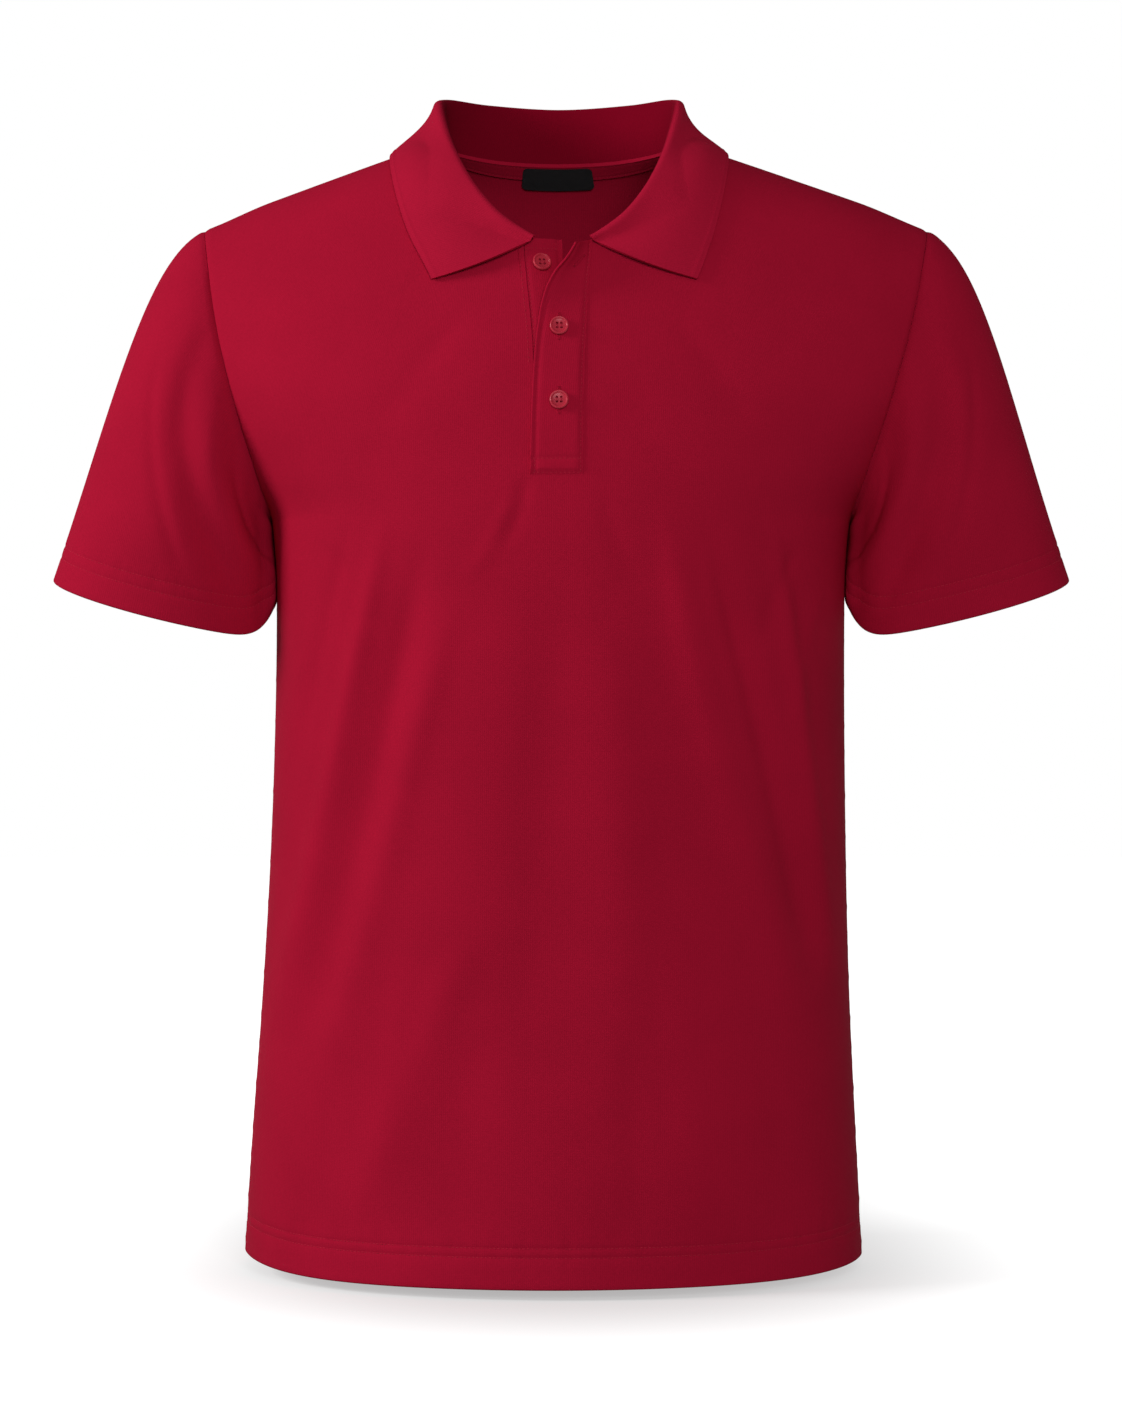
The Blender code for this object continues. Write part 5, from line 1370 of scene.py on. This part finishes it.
def button(name, seat):
    """A turned four-hole button with a raised rim round its dished face."""
    made = bmesh.new()
    points = [
        made.verts.new((share * BUTTON_RADIUS, 0.0, high * BUTTON_THICK)) for share, high in BUTTON_SECTION
    ]
    edges = [made.edges.new(pair) for pair in zip(points, points[1:])]
    bmesh.ops.spin(
        made, geom=points + edges, cent=(0, 0, 0), axis=(0, 0, 1), dvec=(0, 0, 0), angle=2 * math.pi,
        steps=BUTTON_SIDES, use_merge=True, use_duplicate=False,
    )
    bmesh.ops.remove_doubles(made, verts=made.verts, dist=MERGE_WITHIN)
    bmesh.ops.recalc_face_normals(made, faces=made.faces)
    bmesh.ops.transform(made, matrix=placed(*seat), verts=made.verts)
    piece = made_piece(name, made)
    drills = []
    for number in range(4):
        turn = math.pi / 4 + number * math.pi / 2
        drill = bmesh.new()
        shift = Matrix.Translation(
            (BUTTON_HOLE_SPREAD * math.cos(turn), BUTTON_HOLE_SPREAD * math.sin(turn), BUTTON_THICK / 2)
        )
        bmesh.ops.create_cone(
            drill, cap_ends=True, segments=DRILL_SIDES, radius1=BUTTON_HOLE_RADIUS,
            radius2=BUTTON_HOLE_RADIUS, depth=3 * BUTTON_THICK, matrix=placed(*seat) @ shift,
        )
        drills.append(made_piece(f"{name}_drill_{number}", drill))
        cut = piece.modifiers.new("hole", "BOOLEAN")
        cut.operation, cut.object = "DIFFERENCE", drills[-1]
    settled(piece, sharp=BUTTON_SHARP)
    for drill in drills:
        bpy.data.objects.remove(drill)
    return piece


def button_thread_lines(seat):
    """Two bars of thread over a button's face, each of two strands from one hole to another."""
    base, right, up, out = seat
    hole = BUTTON_HOLE_SPREAD * math.cos(math.pi / 4)
    lines = []
    for x in (-hole, hole):
        for strand in BUTTON_STRANDS:
            start = base + right * (x + strand)
            lines.append([start + up * (hole * share) + out * high for share, high in STRAND_SECTION])
    return lines


# ---------------- materials
def node(tree, kind, inputs=None, **settings):
    """A node with its settings, and its sockets linked or set."""
    made = tree.nodes.new(kind)
    for name, value in settings.items():
        setattr(made, name, value)
    for socket, value in (inputs or {}).items():
        if isinstance(value, bpy.types.NodeSocket):
            tree.links.new(value, made.inputs[socket])
        else:
            made.inputs[socket].default_value = value
    return made


def maths(tree, operation, first, second=0.0, third=0.0):
    return node(tree, "ShaderNodeMath", {0: first, 1: second, 2: third}, operation=operation).outputs[0]


def noise(tree, scale, detail=2.0, roughness=0.5):
    """Soft unevenness by place on the piece, its scale per metre."""
    place = node(tree, "ShaderNodeTexCoord").outputs["Object"]
    settings = {"Vector": place, "Scale": scale, "Detail": detail, "Roughness": roughness}
    return node(tree, "ShaderNodeTexNoise", settings).outputs[0]


def cloth_places(tree):
    """The cloth's own lengths across and up."""
    lengths = node(tree, "ShaderNodeUVMap", uv_map=KNIT_LENGTHS).outputs[0]
    return node(tree, "ShaderNodeSeparateXYZ", {0: lengths}).outputs


def blend(tree, share, first, second, **settings):
    """A colour between two by a share."""
    inputs = {"Factor": share, 6: first, 7: second}
    return node(tree, "ShaderNodeMix", inputs, data_type="RGBA", **settings).outputs[2]


def varied(tree, share, colour, swing):
    """A colour made darker and lighter by up to this swing."""
    return blend(tree, share, toned(colour, 1 - swing), toned(colour, 1 + swing))


def knit_effect(name, wale, course, lean):
    """Rows of loops along the cloth's own lengths: their height, and a soft unevenness of tone with painted
    shade between them.
    """
    if name in bpy.data.node_groups:
        return bpy.data.node_groups[name]
    tree = bpy.data.node_groups.new(name, "ShaderNodeTree")
    for output in ("Height", "Shade"):
        tree.interface.new_socket(name=output, in_out="OUTPUT", socket_type="NodeSocketFloat")
    across, up = cloth_places(tree)[:2]
    across = maths(tree, "PINGPONG", maths(tree, "DIVIDE", across, wale), 0.5)
    leaning = maths(tree, "MULTIPLY_ADD", across, lean, maths(tree, "DIVIDE", up, course))
    loops = maths(tree, "SINE", maths(tree, "MULTIPLY", leaning, 2 * math.pi))
    crowned = maths(tree, "SUBTRACT", 1.0, maths(tree, "POWER", maths(tree, "MULTIPLY", across, 2.0), 2.0))
    height = maths(tree, "MULTIPLY_ADD", loops, LOOP_ROUND, maths(tree, "MULTIPLY", crowned, LOOP_CROWN))
    soft = noise(tree, scale=14.0, detail=3.0, roughness=0.55)
    fibres = noise(tree, scale=620.0, roughness=0.6)
    mixed = maths(tree, "MULTIPLY_ADD", soft, SHADE_SOFT, maths(tree, "MULTIPLY", fibres, SHADE_FIBRES))
    # Painted shade: the loops' height darkens the colour between the loops.
    shade = maths(tree, "MULTIPLY_ADD", height, LOOP_PAINTED_SHADE, mixed)
    node(tree, "NodeGroupOutput", {"Height": height, "Shade": shade})
    return tree


def toned(colour, share):
    """A colour made lighter or darker, as four channels."""
    return tuple(channel * share for channel in colour[:3]) + (1.0,)


def material(name, roughness, specular):
    """A material with its nodes and its shader, which are None if it was made before."""
    if name in bpy.data.materials:
        return bpy.data.materials[name], None, None
    made = bpy.data.materials.new(name)
    made.use_nodes = True
    tree = made.node_tree
    shader = tree.nodes["Principled BSDF"]
    shader.inputs["Roughness"].default_value = roughness
    shader.inputs["Specular IOR Level"].default_value = specular
    return made, tree, shader


def knit_material(name, colour, group, relief):
    """Matte knitted cotton: a softly varying base colour with painted shade between its loops, and the
    relief of its loops.
    """
    made, tree, shader = material(name, roughness=0.90, specular=0.03)
    if tree is None:
        return made
    knit = node(tree, "ShaderNodeGroup", node_tree=group).outputs
    bump = node(tree, "ShaderNodeBump", {"Strength": 0.32, "Distance": relief, "Height": knit["Height"]})
    tree.links.new(varied(tree, knit["Shade"], colour, swing=0.28), shader.inputs["Base Color"])
    tree.links.new(bump.outputs[0], shader.inputs["Normal"])
    shader.inputs["Specular Tint"].default_value = (0.90, 0.12, 0.18, 1.0)
    return made


def body_knit(colour):
    *loops, relief = BODY_LOOPS
    return knit_material("body knit", colour, knit_effect("body loops", *loops), relief)


def collar_rib(colour):
    """The rib, with painted shade: a deeper red on the side that faces the neck, for the shade inside the
    stand.
    """
    if "collar rib" in bpy.data.materials:
        return bpy.data.materials["collar rib"]
    *loops, relief = COLLAR_LOOPS
    made = knit_material("collar rib", colour, knit_effect("collar loops", *loops), relief)
    tree = made.node_tree
    red = tree.nodes["Principled BSDF"].inputs["Base Color"]
    # Painted shade: the rib's red is multiplied by a deeper tone where the collar faces into the neck.
    inner = node(tree, "ShaderNodeAttribute", attribute_name=PAINTED_SHADE_MASK, attribute_type="GEOMETRY")
    deeper = blend(tree, inner.outputs["Fac"], red.links[0].from_socket, INNER_PAINTED_SHADE, blend_type="MULTIPLY")
    tree.links.new(deeper, red)
    return made


def thread_material(colour, name="sewing thread"):
    """Matte thread, uneven along its twist."""
    made, tree, shader = material(name, roughness=0.80, specular=0.06)
    if tree is not None:
        shader.inputs["Specular Tint"].default_value = (0.90, 0.30, 0.36, 1.0)
        uneven = varied(tree, noise(tree, scale=900.0), colour, swing=0.25)
        tree.links.new(uneven, shader.inputs["Base Color"])
    return made


def label_material(colour):
    """Black satin weave, whose fine ribs run up the label."""
    made, tree, shader = material("woven label", roughness=0.42, specular=0.42)
    if tree is None:
        return made
    weave = maths(tree, "SINE", maths(tree, "MULTIPLY", cloth_places(tree)[0], 2 * math.pi / LABEL_RIB))
    bump = node(tree, "ShaderNodeBump", {"Strength": 0.25, "Distance": 0.0001, "Height": weave})
    uneven = varied(tree, noise(tree, scale=260.0), colour, swing=0.3)
    tree.links.new(uneven, shader.inputs["Base Color"])
    tree.links.new(bump.outputs[0], shader.inputs["Normal"])
    return made


def button_material(colour):
    """Glossy cast resin with a faint depth of colour."""
    made, tree, shader = material("cast button", roughness=0.38, specular=0.24)
    if tree is None:
        return made
    uneven = varied(tree, noise(tree, scale=120.0), colour, swing=0.15)
    tree.links.new(uneven, shader.inputs["Base Color"])
    shader.inputs["Specular Tint"].default_value = (1.0, 0.30, 0.36, 1.0)
    shader.inputs["Coat Weight"].default_value = 0.14
    shader.inputs["Coat Roughness"].default_value = 0.22
    shader.inputs["Coat Tint"].default_value = (1.0, 0.62, 0.66, 1.0)
    return made


def floor_material(colour, glow):
    """A pale floor that glows, with a painted shadow: it gives off less light near the shirt and ends in
    white.
    """
    made, tree, shader = material("pale floor", roughness=0.9, specular=0.1)
    if tree is None:
        return made
    uneven = varied(tree, noise(tree, scale=3.0), colour, swing=0.005)
    tree.links.new(uneven, shader.inputs["Base Color"])
    # Painted shadow: the floor's glow is lowered within the shirt's reach over it.
    place = node(tree, "ShaderNodeTexCoord").outputs["Object"]
    x, y = node(tree, "ShaderNodeSeparateXYZ", {0: place}).outputs[:2]
    aside = maths(tree, "DIVIDE", x, GLOW_ASIDE)
    forward, back = maths(tree, "DIVIDE", y, GLOW_FORWARD), maths(tree, "DIVIDE", y, GLOW_BACK)
    deep = maths(tree, "MINIMUM", forward, back)
    shared = node(tree, "ShaderNodeCombineXYZ", {0: aside, 1: deep}).outputs[0]
    away = node(tree, "ShaderNodeVectorMath", {0: shared}, operation="LENGTH").outputs["Value"]
    share = node(
        tree, "ShaderNodeMapRange", {"Value": away, "From Min": GLOW_FROM, "From Max": GLOW_TO},
        interpolation_type="SMOOTHSTEP",
    ).outputs["Result"]
    tree.links.new(blend(tree, share, toned(WHITE, glow), WHITE), shader.inputs["Emission Color"])
    shader.inputs["Emission Strength"].default_value = 1.0
    return made


# ---------------- settings that a user may change
def length(name, description, default, low, high):
    return bpy.props.FloatProperty(
        name=name, description=description, default=default, min=low, max=high, precision=5,
        subtype="DISTANCE", unit="LENGTH",
    )


def colour(name, description, default):
    return bpy.props.FloatVectorProperty(
        name=name, description=description, default=default, min=0.0, max=1.0, size=3, subtype="COLOR"
    )


def number(name, description, default, low, high):
    return bpy.props.FloatProperty(name=name, description=description, default=default, min=low, max=high)


def power(name, description, default):
    return bpy.props.FloatProperty(
        name=name, description=description, default=default, min=0.0, subtype="POWER", unit="POWER"
    )


class PoloCloth(bpy.types.PropertyGroup):
    thickness: length("Cloth", "Thickness of the knitted cloth", 0.0012, 0.0004, 0.0013)
    seam_dip: length("Seam dip", "How far the cloth dips into a seam", 0.0009, 0.0, 0.0015)
    seam_width: length("Seam width", "How far from a seam the cloth starts to dip", 0.0017, 0.0008, 0.004)
    stitch_dip: length("Stitch dip", "How deep a row of stitches sinks", 0.00040, 0.0, 0.0008)
    pucker: length("Pucker", "Height of the puckers beside seams and hems", 0.00028, 0.0, 0.0008)
    colour: colour("Cloth colour", "Colour of the knitted cloth", (0.380, 0.0068, 0.0293))


class PoloTrims(bpy.types.PropertyGroup):
    collar_thickness: length("Collar", "Thickness of the knitted collar", 0.0018, 0.001, 0.0022)
    collar_line_in: length("Collar line", "How far in from the edge its raised line runs", 0.0032, 0.0, 0.01)
    collar_line_height: length("Line height", "Height of the collar's raised line", 0.00028, 0.0, 0.001)
    band_thickness: length("Band layers", "Thickness of a placket band's layer", 0.00055, 0.0003, 0.0006)
    tape_thickness: length("Tape", "Thickness of the neck tape", 0.0006, 0.0003, 0.0007)
    label_thickness: length("Label", "Thickness of the woven label", 0.0005, 0.0002, 0.0006)
    collar_colour: colour("Collar colour", "Colour of the collar", (0.412, 0.0082, 0.0340))
    label_colour: colour("Label colour", "Colour of the woven label", (0.006, 0.007, 0.008))
    button_colour: colour("Button colour", "Colour of the buttons", (0.440, 0.0240, 0.0460))


class PoloStitches(bpy.types.PropertyGroup):
    pitch: length("Pitch", "Distance from one stitch to the next", 0.0026, 0.0015, 0.005)
    length: length("Length", "Length of one stitch", 0.0017, 0.001, 0.004)
    radius: length("Thread radius", "Radius of the sewing thread", 0.00016, 0.0001, 0.0004)
    height: length("Rise", "How far a stitch stands out of its groove", 0.00016, 0.0, 0.0004)
    colour: colour("Thread colour", "Colour of the sewing thread", (0.450, 0.0220, 0.0480))


class PoloStage(bpy.types.PropertyGroup):
    floor: colour("Floor colour", "Colour of the floor", (0.45, 0.45, 0.45))
    # The floor's glow beside the shirt, the level of its painted shadow.
    glow: number("Floor glow", "Light that the floor gives off beside the shirt", 0.45, 0.0, 2.0)
    key: power("Key light", "Power of the light at the left", 52.0)
    fill: power("Front light", "Power of the light beside the camera", 36.0)
    sky: number("Surround", "Strength of the light from all round", 0.18, 0.0, 2.0)
    lens: bpy.props.FloatProperty(
        name="Lens", description="Focal length of the camera", default=90.31, min=20.0, max=200.0,
        subtype="DISTANCE_CAMERA", unit="CAMERA",
    )


# ---------------- operators
class POLO_OT_body(bpy.types.Operator):
    """Makes the front and the back with their turned-up hems and seam allowances"""

    bl_idname = "polo.body"
    bl_label = "Body panels"

    def execute(self, context):
        cloth = context.scene.polo_cloth
        for side in ("front", "back"):
            name = f"{side}_cloth"
            piece = sheet(name, panel(side, cloth), cloth.thickness)
            finished(piece, body_knit(cloth.colour), (f"{side}_panel",))
        return {"FINISHED"}


class POLO_OT_sleeves(bpy.types.Operator):
    """Makes the two sleeves with their turned-up hems"""

    bl_idname = "polo.sleeves"
    bl_label = "Sleeves"

    def execute(self, context):
        cloth = context.scene.polo_cloth
        for side, sign in SIDES:
            name = f"{side}_sleeve_cloth"
            piece = sheet(name, sleeve(sign, cloth), cloth.thickness)
            finished(piece, body_knit(cloth.colour), (f"{side}_sleeve",))
        return {"FINISHED"}


class POLO_OT_collar(bpy.types.Operator):
    """Makes the collar, folded over at its roll line"""

    bl_idname = "polo.collar"
    bl_label = "Collar"

    def execute(self, context):
        trims = context.scene.polo_trims
        piece = sheet("collar_knit", collar_sheet(trims), trims.collar_thickness, offset=0.0)
        # Marks where the painted shade inside the collar falls.
        mark_painted_shade_inside(piece)
        finished(piece, collar_rib(trims.collar_colour), ("collar",))
        return {"FINISHED"}


class POLO_OT_placket(bpy.types.Operator):
    """Makes the two placket bands, each folded double at its free edge"""

    bl_idname = "polo.placket"
    bl_label = "Placket bands"

    def execute(self, context):
        cloth, trims = context.scene.polo_cloth, context.scene.polo_trims
        rows = (
            ("upper_band_cloth", upper_band, PLACKET_FOOT, UPPER_BAND_TOP, UPPER_BAND_LINES, UPPER_BAND_BOX,
             "upper_placket"),
            ("under_band_cloth", under_band, PLACKET_SLOT_FOOT + 2 * SEAM_HALF_GAP, UNDER_BAND_TOP,
             UNDER_BAND_LINES, UNDER_BAND_BOX, "under_placket"),
        )
        for name, surface, foot, top, lines, box, node_name in rows:
            grids = folded_band(surface, foot, top, lines, box, cloth)
            piece = sheet(name, grids, trims.band_thickness)
            finished(piece, body_knit(cloth.colour), (node_name,))
        return {"FINISHED"}


class POLO_OT_neck(bpy.types.Operator):
    """Makes the tape over the neck seam and the bare woven label"""

    bl_idname = "polo.neck"
    bl_label = "Neck tape and label"

    def execute(self, context):
        cloth, trims = context.scene.polo_cloth, context.scene.polo_trims
        tape = sheet("neck_tape_cloth", tape_sheet(), trims.tape_thickness)
        finished(tape, body_knit(cloth.colour), ("neck_tape",))
        label = sheet("neck_label_cloth", label_sheet(), trims.label_thickness)
        finished(label, label_material(trims.label_colour), ("neck_label",))
        return {"FINISHED"}


class POLO_OT_buttons(bpy.types.Operator):
    """Makes the three buttons with the thread that holds them, and their buttonholes"""

    bl_idname = "polo.buttons"
    bl_label = "Buttons"

    def execute(self, context):
        scene = context.scene
        cloth, trims, stitches = scene.polo_cloth, scene.polo_trims, scene.polo_stitches
        thread = thread_material(stitches.colour)
        holes = satin_lines(*TOP_BUTTONHOLE, TOP_BUTTONHOLE_TILT)
        bars = []
        for name, node_name, across, height, band in BUTTONS:
            seat = button_seat(across, height, band)
            finished(button(name, seat), button_material(trims.button_colour), (node_name,))
            bars += button_thread_lines(seat)
            if band == "upper":
                holes += satin_lines(across, height, BUTTONHOLE_LENGTH, 0.0)
        threads("button_threads", bars, stitches.radius, thread)
        hole_thread = thread_material(cloth.colour, "buttonhole thread")
        threads("buttonholes", holes, stitches.radius, hole_thread)
        return {"FINISHED"}


class POLO_OT_stitching(bpy.types.Operator):
    """Sews the rows of stitches at the hem, the cuffs, the placket and the tape"""

    bl_idname = "polo.stitching"
    bl_label = "Stitching"

    def execute(self, context):
        cloth, stitches = context.scene.polo_cloth, context.scene.polo_stitches
        thread = thread_material(stitches.colour)
        hem = []
        for row in HEM_STITCH_ROWS:
            for side in ("front", "back"):
                points, normals = panel_row(side, row)
                hem += stitch_lines(points - normals * cloth.stitch_dip, normals, stitches)
        threads("hem_stitches", hem, stitches.radius, thread)
        for side, sign in SIDES:
            outer, normals, _, _ = sleeve_form(sign)
            lines = []
            for row in CUFF_STITCH_ROWS:
                points, facing = cuff_line(outer, normals, row)
                lines += stitch_lines(points - facing * cloth.stitch_dip, facing, stitches, closed=True)
            threads(f"{side}_cuff_stitches", lines, stitches.radius, thread)
        lines = []
        for points, normals in placket_rows():
            lines += stitch_lines(points - normals * cloth.stitch_dip, normals, stitches)
        slot = slot_row(PLACKET_SLOT_FOOT + SLOT_LINE_FROM, UNDER_BAND_TOP - STITCHES_SHORT)
        lines += stitch_lines(*slot, stitches)
        threads("placket_stitches", lines, stitches.radius, thread)
        lines = []
        shares = np.linspace(-TAPE_LINE_END, TAPE_LINE_END, TAPE_LINE_POINTS)
        for depth in TAPE_LINES:
            points, normals = inside_back(shares, [depth], np.full((1, TAPE_LINE_POINTS), TAPE_LIFT))
            lines += stitch_lines(points[0], normals[0], stitches)
        threads("tape_stitches", lines, stitches.radius, thread)
        return {"FINISHED"}


class POLO_OT_stage(bpy.types.Operator):
    """Sets the camera, the pale floor and the soft studio light"""

    bl_idname = "polo.stage"
    bl_label = "Stage"

    def execute(self, context):
        stage = context.scene.polo_stage
        made = bmesh.new()
        bmesh.ops.create_grid(made, x_segments=1, y_segments=1, size=FLOOR_HALF)
        bmesh.ops.translate(made, verts=made.verts, vec=(0.0, 0.0, FLOOR_HEIGHT))
        floor = made_piece("floor", made)
        floor.data.materials.append(floor_material(stage.floor, stage.glow))
        floor.visible_diffuse = False
        lens = bpy.data.cameras.new("camera")
        lens.lens, lens.sensor_width = stage.lens, SENSOR_WIDTH
        camera = added("camera", lens)
        camera.location, camera.rotation_euler = CAMERA_PLACE, (math.pi / 2, 0.0, 0.0)
        context.scene.camera = camera
        for name, power, size, place in (
            ("key light", stage.key, KEY_SIZE, KEY_PLACE),
            ("front light", stage.fill, FILL_SIZE, FILL_PLACE),
        ):
            light = bpy.data.lights.new(name, "AREA")
            light.shape, light.size, light.energy = "SQUARE", size, power
            lamp = added(name, light)
            lamp.location = place
            aim = Vector(LIGHT_AIM) - Vector(place)
            lamp.rotation_euler = aim.to_track_quat("-Z", "Y").to_euler()
        surround(context.scene, stage.sky)
        context.scene.view_settings.view_transform = "Standard"
        return {"FINISHED"}


def surround(scene, strength):
    """White behind everything for the camera, and weaker light from all round."""
    world = bpy.data.worlds.new("surround")
    world.use_nodes = True
    scene.world = world
    tree = world.node_tree
    tree.nodes.clear()
    seen = node(tree, "ShaderNodeBackground", {"Color": WHITE, "Strength": 1.0}).outputs[0]
    lit = node(tree, "ShaderNodeBackground", {"Color": WHITE, "Strength": strength}).outputs[0]
    to_camera = node(tree, "ShaderNodeLightPath").outputs["Is Camera Ray"]
    mixed = node(tree, "ShaderNodeMixShader", {0: to_camera, 1: lit, 2: seen})
    node(tree, "ShaderNodeOutputWorld", {"Surface": mixed.outputs[0]})


OPERATORS = (
    POLO_OT_body, POLO_OT_sleeves, POLO_OT_collar, POLO_OT_placket, POLO_OT_neck, POLO_OT_buttons,
    POLO_OT_stitching, POLO_OT_stage,
)


class POLO_PT_sidebar(bpy.types.Panel):
    """The polo shirt's settings and steps"""

    bl_idname = "POLO_PT_sidebar"
    bl_label = "Polo shirt"
    bl_space_type = "VIEW_3D"
    bl_region_type = "UI"
    bl_category = "Polo shirt"

    def draw(self, context):
        for group in SETTINGS:
            box = self.layout.box()
            settings = getattr(context.scene, group)
            for name in SETTINGS[group].__annotations__:
                box.prop(settings, name)
        for operator in OPERATORS:
            self.layout.operator(operator.bl_idname)


SETTINGS = {
    "polo_cloth": PoloCloth, "polo_trims": PoloTrims, "polo_stitches": PoloStitches, "polo_stage": PoloStage,
}
CLASSES = tuple(SETTINGS.values()) + OPERATORS + (POLO_PT_sidebar,)


def register():
    for item in CLASSES:
        bpy.utils.register_class(item)
    for name, group in SETTINGS.items():
        setattr(bpy.types.Scene, name, bpy.props.PointerProperty(type=group))


def unregister():
    for name in SETTINGS:
        delattr(bpy.types.Scene, name)
    for item in reversed(CLASSES):
        bpy.utils.unregister_class(item)


def main():
    register()
    for operator in OPERATORS:
        getattr(bpy.ops.polo, operator.bl_idname.split(".")[1])()


if __name__ == "__main__":
    main()
